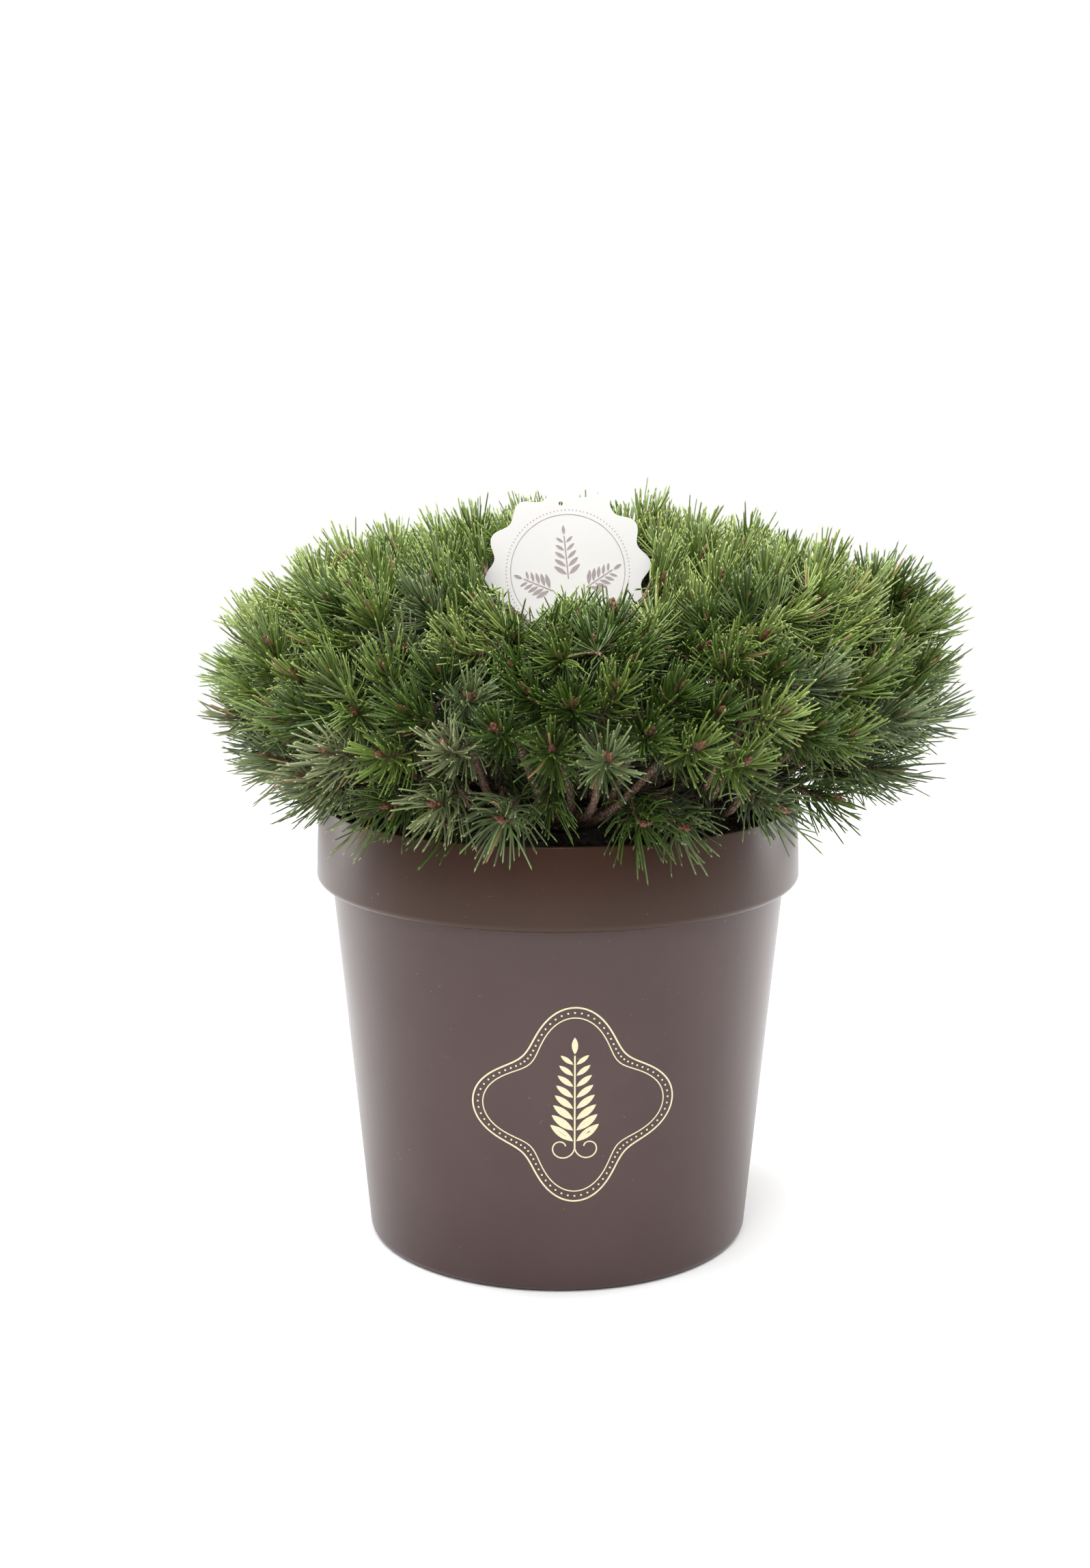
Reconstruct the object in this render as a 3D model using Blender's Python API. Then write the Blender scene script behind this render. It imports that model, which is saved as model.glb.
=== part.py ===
"""A mugo pine in a round nursery pot, with a plain white label on a stake.

Metres, +Z up. The origin is the middle of the pot's flat underside, and -Y is the front.
The crown is a flattened dome of needle masses. Each mass sits on one bough, and the boughs
rise from a short trunk that stands on the soil.
"""

import math
import random

import bmesh
import bpy
from mathutils import Matrix, Vector
from mathutils.bvhtree import BVHTree
from mathutils.geometry import intersect_point_line

SEED = 13
GAP = 0.0003
MERGE = 0.00001

# Pot
POT_HEIGHT = 0.376
RIM_RADIUS = 0.200
BAND_HEIGHT = 0.068
BAND_FOOT_RADIUS = 0.2025
BAND_FOOT_ROUND = 0.006
BODY_TOP_RADIUS = 0.190
BASE_RADIUS = 0.1615
BASE_ROUND = 0.007
WALL = 0.003
POT_SIDES = 44
ARC_STEPS = 2

# Soil
SOIL_DROP = 0.030
SOIL_MOUND = 0.008
MOUND_FLAT = 0.055
GROUND = POT_HEIGHT - SOIL_DROP + SOIL_MOUND

# Trunk
TRUNK_BASE = Vector((-0.012, -0.014, GROUND + GAP))
TRUNK_TOP = Vector((-0.003, -0.010, GROUND + 0.078))
TRUNK_RADIUS = 0.026
TRUNK_TAPER = 0.86
FLARE = 0.012
FLARE_HEIGHT = 0.014
FLARE_ROOTS = 5
TRUNK_SIDES = 15
TRUNK_RINGS = 7

# Crown: the dome on which the shoots end, seen from its middle
CROWN_MIDDLE = Vector((0.016, 0.0, POT_HEIGHT + 0.075))
CROWN_REACH = 0.2715
CROWN_UP = 0.136
CROWN_DOWN = 0.088
CROWN_POWER = 2.3
# Lobes of the dome: where each lies, how far it stands out, and its width as an angle
LOBES = {
    "right shoulder": (Vector((0.95, -0.06, 0.39)).normalized(), 0.046, 0.20),
    "dip inside the right shoulder": (Vector((0.80, 0.00, 0.58)).normalized(), -0.040, 0.15),
    "low right": (Vector((0.95, -0.15, -0.26)).normalized(), 0.018, 0.16),
    "left shoulder": (Vector((-0.94, -0.10, 0.30)).normalized(), 0.014, 0.24),
    "rise at the back": (Vector((0.40, 0.45, 0.80)).normalized(), 0.010, 0.20),
    "hollow before the label": (Vector((-0.03, -0.42, 0.91)).normalized(), -0.075, 0.26),
    "low front": (Vector((-0.04, -0.83, 0.55)).normalized(), -0.035, 0.38),
}
LOWEST_SHOOT = POT_HEIGHT + 0.014

# Rings of masses: how many, angle from straight up, first azimuth, where the bough leaves the
# trunk, how far its end hangs under the middle of its mass. The stake comes down between boughs.
MASS_RINGS = {
    "top": {"count": 5, "tilt": 39, "first": 77, "leaves_at": 1.0, "drop": 0.0},
    "shoulder": {"count": 7, "tilt": 63, "first": 64, "leaves_at": 0.66, "drop": 0.010},
    "skirt": {"count": 10, "tilt": 87, "first": 55.5, "leaves_at": 0.27, "drop": 0.026},
}
INNER_SHARE = 0.54
MASS_CLEARANCE = 0.0012

# Boughs
BOUGH_RADIUS = {"top": 0.0072, "shoulder": 0.0068, "skirt": 0.0064}
BOUGH_TIP_SHARE = 0.62
BOUGH_SIDES = 6
BOUGH_RINGS = 7
BOUGH_FOOT = 0.008
BOUGH_PULL = (0.55, 0.35)
BOUGH_STAGGER = 0.13
BOUGH_UPTURN = 0.9
SEAT_FROM = 0.070
SEAT_RAYS = 24
FORK_SPREAD = 0.0135
FORK_UPTURN = 0.45

# Twigs and sprays of needles
SITE_SPACING = 0.054
SITE_MARGIN = 0.010
SITE_CANDIDATES = 2600
TWIG_RADIUS = 0.0030
TWIG_TAPER = 0.82
TWIG_SUNK = 0.37
TWIG_IN_SPRAY = 0.35
TWIG_SHARE = 0.45
STEM_SIDES = 5
STEM_TAPER = (1.0, 0.98, 0.80)
NEEDLE_LENGTH = 0.048
NEEDLE_VARIATION = 0.14
NEEDLE_MARGIN = 0.0025
NEEDLE_SAMPLES = 5
SPRAY_SIDES = 5
SPRAY_RADIUS = 0.0080
SPRAY_BANDS = (18, 92)
FEWEST_NEEDLES = 4
SHOOT_DEPTH = 0.004
SHOOT_ONWARD = 0.40
SHOOT_UPTURN = 0.30

# Core of a mass
CORE_DEPTH = 0.015
CORE_FILL = 0.97
CORE_MIDDLE_SHARE = 0.80
CORE_FLOOR = POT_HEIGHT + 0.016
CORE_ROOM = 0.06

# Label
LABEL_MIDDLE = Vector((0.008, 0.018, POT_HEIGHT + 0.185))
LABEL_RADIUS = 0.0656
LABEL_SCALLOP = 0.0038
LABEL_SCALLOPS = 12
LABEL_THICKNESS = 0.0012
LABEL_ROLL = -6
LABEL_HOLE_RADIUS = 0.0018
LABEL_HOLE_INSET = 0.009
STAKE_WIDTH = 0.013
STAKE_POINT = 0.018
STAKE_IN_SOIL = 0.045
LABEL_ROOM = 0.004
# No needle stands before the label's face above a plane that rises away from it
VIEW_WIDTH = 0.066
VIEW_DEPTH = 0.22
VIEW_HEIGHT = POT_HEIGHT + 0.162
VIEW_SLOPE = 0.118


def clear_scene():
    for obj in list(bpy.data.objects):
        bpy.data.objects.remove(obj)


def material(name, colour, roughness, metallic=0.0):
    made = bpy.data.materials.new(name)
    made.use_nodes = True
    shader = made.node_tree.nodes["Principled BSDF"]
    shader.inputs["Base Color"].default_value = (*colour, 1.0)
    shader.inputs["Roughness"].default_value = roughness
    shader.inputs["Metallic"].default_value = metallic
    return made


def add_object(name, bm, finish, collection=None):
    """Turns a bmesh into an object that faces outwards."""
    bmesh.ops.recalc_face_normals(bm, faces=bm.faces)
    mesh = bpy.data.meshes.new(name)
    bm.to_mesh(mesh)
    bm.free()
    mesh.materials.append(finish)
    obj = bpy.data.objects.new(name, mesh)
    (collection or bpy.context.scene.collection).objects.link(obj)
    return obj


def arc(middle, radius, start, end, steps=ARC_STEPS):
    """Points of an arc in the (radius, height) plane, angles in degrees."""
    points = []
    for step in range(steps + 1):
        angle = math.radians(start + (end - start) * step / steps)
        points.append((middle[0] + radius * math.cos(angle), middle[1] + radius * math.sin(angle)))
    return points


def turned(name, profile, finish):
    """A solid turned from a profile that starts and ends on the axis."""
    bm = bmesh.new()
    verts = [bm.verts.new((radius, 0, height)) for radius, height in profile]
    edges = [bm.edges.new(pair) for pair in zip(verts, verts[1:])]
    bmesh.ops.spin(
        bm, geom=verts + edges, cent=(0, 0, 0), axis=(0, 0, 1),
        angle=2 * math.pi, steps=POT_SIDES, use_merge=True,
    )
    bmesh.ops.remove_doubles(bm, verts=bm.verts, dist=MERGE)
    obj = add_object(name, bm, finish)
    obj.data.shade_smooth()
    obj.data.set_sharp_from_angle(angle=math.radians(35))
    return obj


def make_pot(finish):
    band_foot = POT_HEIGHT - BAND_HEIGHT
    rim_round = WALL / 2
    outside = [(0, 0)]
    outside += arc((BASE_RADIUS - BASE_ROUND, BASE_ROUND), BASE_ROUND, -90, 0)
    outside += [(BODY_TOP_RADIUS, band_foot)]
    foot_middle = (BAND_FOOT_RADIUS - BAND_FOOT_ROUND, band_foot + BAND_FOOT_ROUND)
    outside += arc(foot_middle, BAND_FOOT_ROUND, -90, 0)
    rim = arc((RIM_RADIUS - rim_round, POT_HEIGHT - rim_round), rim_round, 0, 180)
    inside = [
        (BAND_FOOT_RADIUS - WALL, band_foot + WALL),
        (BODY_TOP_RADIUS - WALL, band_foot + WALL),
        (BASE_RADIUS - WALL, WALL),
        (0, WALL),
    ]
    return turned("pot", outside + rim + inside, finish)


def make_soil(finish):
    ledge = POT_HEIGHT - BAND_HEIGHT + WALL + GAP
    edge = POT_HEIGHT - SOIL_DROP
    profile = [
        (0, WALL + GAP),
        (BASE_RADIUS - WALL - 2 * GAP, WALL + GAP),
        (BODY_TOP_RADIUS - WALL - 2 * GAP, ledge),
        (BAND_FOOT_RADIUS - WALL - 2 * GAP, ledge),
        (RIM_RADIUS - WALL - 2 * GAP, edge),
        (0.5 * (RIM_RADIUS + MOUND_FLAT), edge + 0.55 * SOIL_MOUND),
        (MOUND_FLAT, GROUND),
        (0, GROUND),
    ]
    return turned("soil", profile, finish)


def side_of(direction):
    """Two unit vectors at right angles to a direction and to each other."""
    helper = Vector((0, 0, 1)) if abs(direction.z) < 0.9 else Vector((1, 0, 0))
    across = direction.cross(helper).normalized()
    return across, across.cross(direction).normalized()


def limb_bmesh(path, radii, sides, radius_at=None):
    """A closed tapering limb: one ring at right angles to each point of the path."""
    bm = bmesh.new()
    rings = []
    across, _ = side_of((path[1] - path[0]).normalized())
    for index, point in enumerate(path):
        before, after = path[max(index - 1, 0)], path[min(index + 1, len(path) - 1)]
        along = (after - before).normalized()
        across = (across - along * across.dot(along)).normalized()
        other = along.cross(across)
        ring = []
        for side in range(sides):
            angle = 2 * math.pi * side / sides
            radius = radii[index] * (radius_at(index, angle) if radius_at else 1.0)
            offset = across * math.cos(angle) + other * math.sin(angle)
            ring.append(bm.verts.new(point + offset * radius))
        rings.append(ring)
    for low, high in zip(rings, rings[1:]):
        for side in range(sides):
            after = (side + 1) % sides
            bm.faces.new((low[side], low[after], high[after], high[side]))
    bm.faces.new(rings[0])
    bm.faces.new(rings[-1])
    return bm


def trunk_axis(share):
    return TRUNK_BASE.lerp(TRUNK_TOP, share)


def trunk_radius(share):
    return TRUNK_RADIUS * (1 + (TRUNK_TAPER - 1) * share)


def make_trunk(finish):
    """The short leaning trunk, with its root flare and a flat cut at the soil.

    It returns a search tree of the trunk's surface, on which the boughs are seated.
    """
    shares = [(step / (TRUNK_RINGS - 1)) ** 1.4 for step in range(TRUNK_RINGS)]
    path = [trunk_axis(share) for share in shares]
    radii = [trunk_radius(share) for share in shares]

    def flare(index, angle):
        height = path[index].z - TRUNK_BASE.z
        ridge = 0.55 + 0.45 * math.cos(FLARE_ROOTS * angle)
        return 1 + FLARE / TRUNK_RADIUS * ridge * math.exp(-height / FLARE_HEIGHT)

    bm = limb_bmesh(path, radii, TRUNK_SIDES, flare)
    for vert in bm.verts:
        if vert.co.z < TRUNK_BASE.z + FLARE_HEIGHT / 4:
            vert.co.z = TRUNK_BASE.z
    tree = BVHTree.FromBMesh(bm)
    obj = add_object("trunk", bm, finish)
    obj.data.shade_smooth()
    obj.data.set_sharp_from_angle(angle=math.radians(50))
    return tree


def direction_at(azimuth, tilt):
    """A unit vector, from an azimuth round +Z and a tilt away from straight up, in degrees."""
    turn, lean = math.radians(azimuth), math.radians(tilt)
    return Vector((math.sin(lean) * math.cos(turn), math.sin(lean) * math.sin(turn), math.cos(lean)))


def bump(direction, towards, width):
    return math.exp(-((direction.angle(towards) / width) ** 2) / 2)


def crown_radius(direction):
    """How far the dome of shoot tips lies from the crown's middle, in one direction."""
    flat = math.hypot(direction.x, direction.y) / CROWN_REACH
    rise = abs(direction.z) / (CROWN_UP if direction.z > 0 else CROWN_DOWN)
    radius = (flat**CROWN_POWER + rise**CROWN_POWER) ** (-1 / CROWN_POWER)
    return radius + sum(rise * bump(direction, towards, width) for towards, rise, width in LOBES.values())


def label_matrix():
    return Matrix.Translation(LABEL_MIDDLE) @ Matrix.Rotation(math.radians(LABEL_ROLL), 4, "Y")


def stake_length():
    """From the label's middle down to the stake's point, along the stake."""
    drop = LABEL_MIDDLE.z - GROUND + STAKE_IN_SOIL
    return drop / math.cos(math.radians(LABEL_ROLL))


def make_label(finish):
    """A round label with a scalloped edge, in one piece with its pointed stake."""
    half = STAKE_WIDTH / 2
    length = stake_length()
    foot_angle = math.asin(half / (LABEL_RADIUS + LABEL_SCALLOP))
    steps = LABEL_SCALLOPS * 4
    outline = []
    for step in range(steps + 1):
        angle = -math.pi / 2 + foot_angle + (2 * math.pi - 2 * foot_angle) * step / steps
        radius = LABEL_RADIUS + LABEL_SCALLOP * math.cos(LABEL_SCALLOPS * angle)
        outline.append((radius * math.cos(angle), radius * math.sin(angle)))
    outline += [(-half, STAKE_POINT - length), (0, -length), (half, STAKE_POINT - length)]
    bm = bmesh.new()
    face = bm.faces.new([bm.verts.new((x, -LABEL_THICKNESS / 2, z)) for x, z in outline])
    pushed = bmesh.ops.extrude_face_region(bm, geom=[face])["geom"]
    moved = [part for part in pushed if isinstance(part, bmesh.types.BMVert)]
    bmesh.ops.translate(bm, verts=moved, vec=(0, LABEL_THICKNESS, 0))
    obj = add_object("label", bm, finish)
    obj.matrix_world = label_matrix()
    bpy.context.view_layer.update()
    punch(obj, LABEL_HOLE_RADIUS, Vector((0, 0, LABEL_RADIUS - LABEL_HOLE_INSET)))
    return obj


def cut(obj, cutter):
    """Cuts one object with another, which stays in the file as a wire helper."""
    cutter.hide_render = True
    cutter.display_type = "WIRE"
    modifier = obj.modifiers.new("cut", "BOOLEAN")
    modifier.operation = "DIFFERENCE"
    modifier.object = cutter


def punch(obj, radius, place):
    """A small round hole through the label, from front to back."""
    bm = bmesh.new()
    turn = Matrix.Rotation(math.pi / 2, 4, "X")
    bmesh.ops.create_cone(
        bm, cap_ends=True, segments=10, radius1=radius, radius2=radius,
        depth=8 * LABEL_THICKNESS, matrix=Matrix.Translation(place) @ turn,
    )
    cutter = add_object("label_hole_cutter", bm, obj.data.materials[0])
    cutter.matrix_world = label_matrix()
    cut(obj, cutter)


def cut_slot(soil):
    """The slot in the soil that the label's stake stands in."""
    bm = bmesh.new()
    depth = STAKE_IN_SOIL + SOIL_MOUND
    width = (STAKE_WIDTH + 3 * GAP, LABEL_THICKNESS + 3 * GAP, 2 * depth)
    place = Matrix.Translation((0, 0, -stake_length() + depth - 2 * GAP))
    bmesh.ops.create_cube(bm, size=1, matrix=place @ Matrix.Diagonal((*width, 1)))
    cutter = add_object("soil_slot_cutter", bm, soil.data.materials[0])
    cutter.matrix_world = label_matrix()
    cut(soil, cutter)


def in_label_room(point):
    """True if a point is close to the label or its stake."""
    local = label_matrix().inverted() @ point
    if abs(local.y) > LABEL_THICKNESS / 2 + LABEL_ROOM:
        return False
    on_disc = math.hypot(local.x, local.z) < LABEL_RADIUS + LABEL_SCALLOP + LABEL_ROOM
    return on_disc or (abs(local.x) < STAKE_WIDTH / 2 + LABEL_ROOM and local.z < 0)


def hides_label(point):
    """True if a point stands before the open part of the label's face."""
    before = LABEL_MIDDLE.y - point.y
    beside = abs(point.x - LABEL_MIDDLE.x)
    above = point.z > VIEW_HEIGHT + VIEW_SLOPE * before
    return above and beside < VIEW_WIDTH and 0 < before < VIEW_DEPTH


def in_pot_room(point):
    """True if a point is in the pot, in the soil or close to the rim."""
    reach = math.hypot(point.x, point.y)
    at_rim = reach < BAND_FOOT_RADIUS + NEEDLE_MARGIN and point.z < POT_HEIGHT + NEEDLE_MARGIN
    in_wall = at_rim and reach > RIM_RADIUS - WALL - NEEDLE_MARGIN
    return in_wall or (at_rim and point.z < GROUND + NEEDLE_MARGIN)


def plan_masses():
    """Name, ring and middle of each mass, ring by ring."""
    plans = []
    for ring, layout in MASS_RINGS.items():
        for index in range(layout["count"]):
            azimuth = layout["first"] + 360 * index / layout["count"]
            direction = direction_at(azimuth, layout["tilt"])
            plans.append({
                "name": f"{ring}_{index + 1}",
                "ring": ring,
                "index": index,
                "azimuth": azimuth,
                "direction": direction,
                "middle": CROWN_MIDDLE + direction * crown_radius(direction),
            })
    for plan in plans:
        plan["limits"] = limits_of(plan, plans)
    return plans


def upright_scaled(vector):
    """A vector in the space in which the flattened dome is round."""
    return Vector((vector.x, vector.y, vector.z * CROWN_REACH / CROWN_UP))


def limits_of(plan, plans):
    """The flat limits of the space of one mass, each as a point and an outward direction.

    Neighbours share a plane through the crown's middle, halfway between them on the dome.
    """
    own = upright_scaled(plan["direction"]).normalized()
    limits = []
    for other in plans:
        if other is not plan:
            away = upright_scaled(upright_scaled(other["direction"]).normalized() - own).normalized()
            limits.append((CROWN_MIDDLE - away * MASS_CLEARANCE / 2, away))
    limits.append(label_limit(plan["middle"]))
    return limits


def label_limit(middle):
    """The plane that keeps a mass on its own side of the label."""
    local = label_matrix().inverted() @ middle
    beside = Vector((math.copysign(1, local.x), 0, 0))
    behind = Vector((0, math.copysign(1, local.y), 0))
    width = LABEL_RADIUS + LABEL_SCALLOP + LABEL_ROOM
    depth = LABEL_THICKNESS / 2 + LABEL_ROOM
    if abs(local.x) - width > abs(local.y) - depth:
        return LABEL_MIDDLE + label_matrix().to_3x3() @ beside * width, -(label_matrix().to_3x3() @ beside)
    return LABEL_MIDDLE + behind * depth, -behind


def inside(point, limits):
    """Distance from a point to the nearest limit, below zero outside."""
    return min((place - point).dot(away) for place, away in limits)


def bezier(start, pull_start, pull_end, end, count):
    points = []
    for step in range(count):
        t = step / (count - 1)
        points.append(
            start * (1 - t) ** 3 + pull_start * 3 * t * (1 - t) ** 2
            + pull_end * 3 * t**2 * (1 - t) + end * t**3
        )
    return points


def seat(start, outward, radius, trunk_tree):
    """Moves a bough's foot in along its own axis until it is just clear of the trunk."""
    across, other = side_of(outward)
    reaches = []
    for share in (0.0, 0.35, 0.7, 1.0):
        for turn in range(SEAT_RAYS):
            angle = 2 * math.pi * turn / SEAT_RAYS
            around = across * math.cos(angle) + other * math.sin(angle)
            place, _, _, reach = trunk_tree.ray_cast(start + around * radius * share, -outward)
            if place:
                reaches.append(reach)
    return start - outward * (min(reaches) - GAP)


def plan_bough(plan, trunk_tree):
    """The bough's path and radii, from the trunk to where it enters its mass."""
    layout = MASS_RINGS[plan["ring"]]
    radius = BOUGH_RADIUS[plan["ring"]]
    share = layout["leaves_at"]
    outward = direction_at(plan["azimuth"], 90)
    reach = crown_radius(plan["direction"]) * INNER_SHARE
    end = CROWN_MIDDLE + plan["direction"] * reach - Vector((0, 0, layout["drop"]))
    if plan["ring"] == "top":
        foot = (TRUNK_TOP - TRUNK_BASE).normalized()
        across = (outward - foot * outward.dot(foot)).normalized()
        start = TRUNK_TOP + across * FORK_SPREAD + foot * GAP
        leave = (outward + Vector((0, 0, FORK_UPTURN))).normalized()
    else:
        share += BOUGH_STAGGER * (plan["index"] % 2)
        foot = leave = outward
        start = seat(trunk_axis(share) + outward * SEAT_FROM, outward, radius, trunk_tree)
    length = (end - start).length
    arrive = (plan["direction"] + Vector((0, 0, BOUGH_UPTURN))).normalized()
    pull_start = start + leave * length * BOUGH_PULL[0]
    pull_end = end - arrive * length * BOUGH_PULL[1]
    rest = bezier(start + foot * BOUGH_FOOT, pull_start, pull_end, end, BOUGH_RINGS - 1)
    path = [start] + rest
    steps = BOUGH_RINGS - 1
    radii = [radius * (1 + (BOUGH_TIP_SHARE - 1) * step / steps) for step in range(BOUGH_RINGS)]
    plan["path"], plan["radii"] = path, radii


def make_bough(plan, finish):
    obj = add_object("bough_" + plan["name"], limb_bmesh(plan["path"], plan["radii"], BOUGH_SIDES), finish)
    obj.data.shade_smooth()
    obj.data.set_sharp_from_angle(angle=math.radians(50))
    return obj


def touches_bough(point, plans):
    for plan in plans:
        if (point - plan["path"][-1]).length > CROWN_REACH:
            continue
        for low, high in zip(plan["path"], plan["path"][1:]):
            nearest, share = intersect_point_line(point, low, high)
            nearest = low.lerp(high, min(max(share, 0), 1))
            if (point - nearest).length < plan["radii"][0] + NEEDLE_MARGIN:
                return True
    return False


def fits(start, end, plan, plans):
    """True if a needle stays in its mass's space, clear of the pot, the label and the boughs."""
    for step in range(1, NEEDLE_SAMPLES + 1):
        point = start.lerp(end, step / NEEDLE_SAMPLES)
        if inside(point, plan["limits"]) < NEEDLE_MARGIN / 4:
            return False
        if in_label_room(point) or hides_label(point):
            return False
        if in_pot_room(point) or touches_bough(point, plans):
            return False
    return True


def spread_sites(plan, candidates):
    """Evenly spaced places for shoot tips on the dome, within the mass's own space."""
    sites = []
    for point in candidates:
        if inside(point, plan["limits"]) < SITE_MARGIN or point.z < LOWEST_SHOOT:
            continue
        if in_label_room(point) or hides_label(point):
            continue
        if all((point - other).length > SITE_SPACING for other in sites):
            sites.append(point)
    return sites


def dome_candidates():
    """Many points of the dome in a golden-angle spiral, from the top down."""
    points = []
    for index in range(SITE_CANDIDATES):
        height = 1 - 1.35 * (index + 0.5) / SITE_CANDIDATES
        azimuth = math.degrees(index * math.pi * (3 - math.sqrt(5)))
        direction = direction_at(azimuth, math.degrees(math.acos(height)))
        points.append(CROWN_MIDDLE + direction * crown_radius(direction))
    return points


def spray_bmesh(middle, axis, plan, plans, rng):
    """A tuft of needles: a small round core with each face drawn out to a point."""
    across, other = side_of(axis)
    bm = bmesh.new()
    rings = []
    for band, tilt in enumerate(SPRAY_BANDS):
        lean = math.radians(tilt)
        ring = []
        for side in range(SPRAY_SIDES):
            turn = 2 * math.pi * (side + 0.5 * band) / SPRAY_SIDES
            around = across * math.cos(turn) + other * math.sin(turn)
            offset = axis * math.cos(lean) + around * math.sin(lean)
            ring.append(bm.verts.new(middle + offset * SPRAY_RADIUS))
        rings.append(ring)
    faces = [bm.faces.new(rings[0])]
    for low, high in zip(rings, rings[1:]):
        for side in range(SPRAY_SIDES):
            after = (side + 1) % SPRAY_SIDES
            faces.append(bm.faces.new((low[side], low[after], high[side])))
            faces.append(bm.faces.new((low[after], high[after], high[side])))
    bm.faces.new(rings[-1])
    drawn = []
    for face in faces:
        heart = face.calc_center_median()
        length = NEEDLE_LENGTH * (1 + NEEDLE_VARIATION * rng.uniform(-1, 1))
        tip = middle + (heart - middle).normalized() * length
        if fits(heart, tip, plan, plans):
            drawn.append((face, tip))
    if len(drawn) < FEWEST_NEEDLES:
        bm.free()
        return None
    for face, tip in drawn:
        bmesh.ops.poke(bm, faces=[face])["verts"][0].co = tip
    return bm


def branch(start, sites, radius):
    """Twigs and last shoots from one stem: the sites are halved again and again, with a fork each time."""
    if len(sites) == 1:
        return [], [(start, sites[0], radius)]
    middle = sum(sites, Vector()) / len(sites)
    fork = start.lerp(middle, TWIG_SHARE)
    spread = max((site - middle for site in sites), key=lambda offset: offset.length)
    ordered = sorted(sites, key=lambda site: (site - middle).dot(spread))
    half = len(ordered) // 2
    twigs, shoots = [(start, fork, radius)], []
    for group in (ordered[:half], ordered[half:]):
        more_twigs, more_shoots = branch(fork, group, radius * TWIG_TAPER)
        twigs += more_twigs
        shoots += more_shoots
    return twigs, shoots


def twig_bmesh(low, high, radius):
    """A three-sided tapering twig, sunk a little way into what it grows from and what it carries."""
    sunk = (high - low).normalized() * radius * TWIG_SUNK
    return limb_bmesh([low - sunk, high + sunk], [radius, radius * TWIG_TAPER], 3)


def core_bmesh(plan):
    """The dense heart of a mass: a ball drawn out to fill most of the mass's space."""
    reach = crown_radius(plan["direction"])
    heart = CROWN_MIDDLE + plan["direction"] * reach * CORE_MIDDLE_SHARE
    inner = CROWN_MIDDLE + plan["direction"] * reach * (INNER_SHARE + CORE_ROOM)
    limits = plan["limits"] + [
        (inner, -plan["direction"]),
        (Vector((0, 0, CORE_FLOOR)), Vector((0, 0, -1))),
    ]
    bm = bmesh.new()
    bmesh.ops.create_icosphere(bm, subdivisions=2, radius=1)
    for vert in bm.verts:
        ray = vert.co.normalized()
        reaches = [
            (place - heart).dot(away) / ray.dot(away) for place, away in limits if ray.dot(away) > 1e-6
        ]
        reaches.append(dome_reach(heart, ray))
        vert.co = heart + ray * CORE_FILL * min(reaches)
    return bm


def dome_reach(start, ray):
    """Distance along a ray to the surface a little inside the dome."""
    low, high = 0.0, 2 * CROWN_REACH
    for _ in range(24):
        middle = (low + high) / 2
        offset = start + ray * middle - CROWN_MIDDLE
        if offset.length < crown_radius(offset.normalized()) - CORE_DEPTH:
            low = middle
        else:
            high = middle
    return low


def make_mass(plan, plans, candidates, finish, rng):
    """One mass: stem, twigs, core and sprays, fused into one solid."""
    tip = plan["path"][-1]
    along = (tip - plan["path"][-2]).normalized()
    start = tip + along * GAP
    heart = CROWN_MIDDLE + plan["direction"] * crown_radius(plan["direction"]) * CORE_MIDDLE_SHARE
    stem_radius = plan["radii"][-1]
    stem_path = [start, start + along * BOUGH_FOOT, heart]
    stem_radii = [stem_radius * share for share in STEM_TAPER]
    stem = limb_bmesh(stem_path, stem_radii, STEM_SIDES)
    mass = add_object("mass_" + plan["name"], stem, finish)

    parts = bpy.data.collections.new("parts_of_" + plan["name"])
    bpy.context.scene.collection.children.link(parts)
    add_object("core", core_bmesh(plan), finish, parts)
    twigs, shoots = branch(heart, spread_sites(plan, candidates), TWIG_RADIUS)
    for low, high, radius in twigs:
        add_object("twig", twig_bmesh(low, high, radius), finish, parts)
    for low, site, radius in shoots:
        outward = (site - CROWN_MIDDLE).normalized()
        onward = (site - low).normalized() * SHOOT_ONWARD
        axis = (outward + onward + Vector((0, 0, SHOOT_UPTURN))).normalized()
        middle = site - axis * SHOOT_DEPTH
        spray = spray_bmesh(middle, axis, plan, plans, rng)
        if spray:
            sunk = middle + axis * SPRAY_RADIUS * TWIG_IN_SPRAY
            add_object("twig", twig_bmesh(low, sunk, radius), finish, parts)
            add_object("spray", spray, finish, parts)
    fuse(mass, parts)
    return mass


def fuse(obj, parts):
    """Joins a collection's objects to one object, and then removes them."""
    modifier = obj.modifiers.new("fuse", "BOOLEAN")
    modifier.operation = "UNION"
    modifier.operand_type = "COLLECTION"
    modifier.collection = parts
    modifier.solver = "MANIFOLD"
    graph = bpy.context.evaluated_depsgraph_get()
    graph.update()
    joined = bpy.data.meshes.new_from_object(obj.evaluated_get(graph))
    joined.name = obj.name
    obj.modifiers.clear()
    obj.data = joined
    keep_outer_skin(joined)
    for part in list(parts.objects):
        bpy.data.objects.remove(part)
    bpy.data.collections.remove(parts)


def keep_outer_skin(mesh):
    """Keeps a mesh's largest skin, so that sealed hollows are filled and loose scrap is gone."""
    bm = bmesh.new()
    bm.from_mesh(mesh)
    left = set(bm.faces)
    skins = []
    while left:
        reached = [left.pop()]
        for face in reached:
            for edge in face.edges:
                for near in edge.link_faces:
                    if near in left:
                        left.discard(near)
                        reached.append(near)
        skins.append(reached)
    largest = max(skins, key=len)
    dropped = [face for skin in skins if skin is not largest for face in skin]
    bmesh.ops.delete(bm, geom=dropped, context="FACES")
    bm.to_mesh(mesh)
    bm.free()


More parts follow.
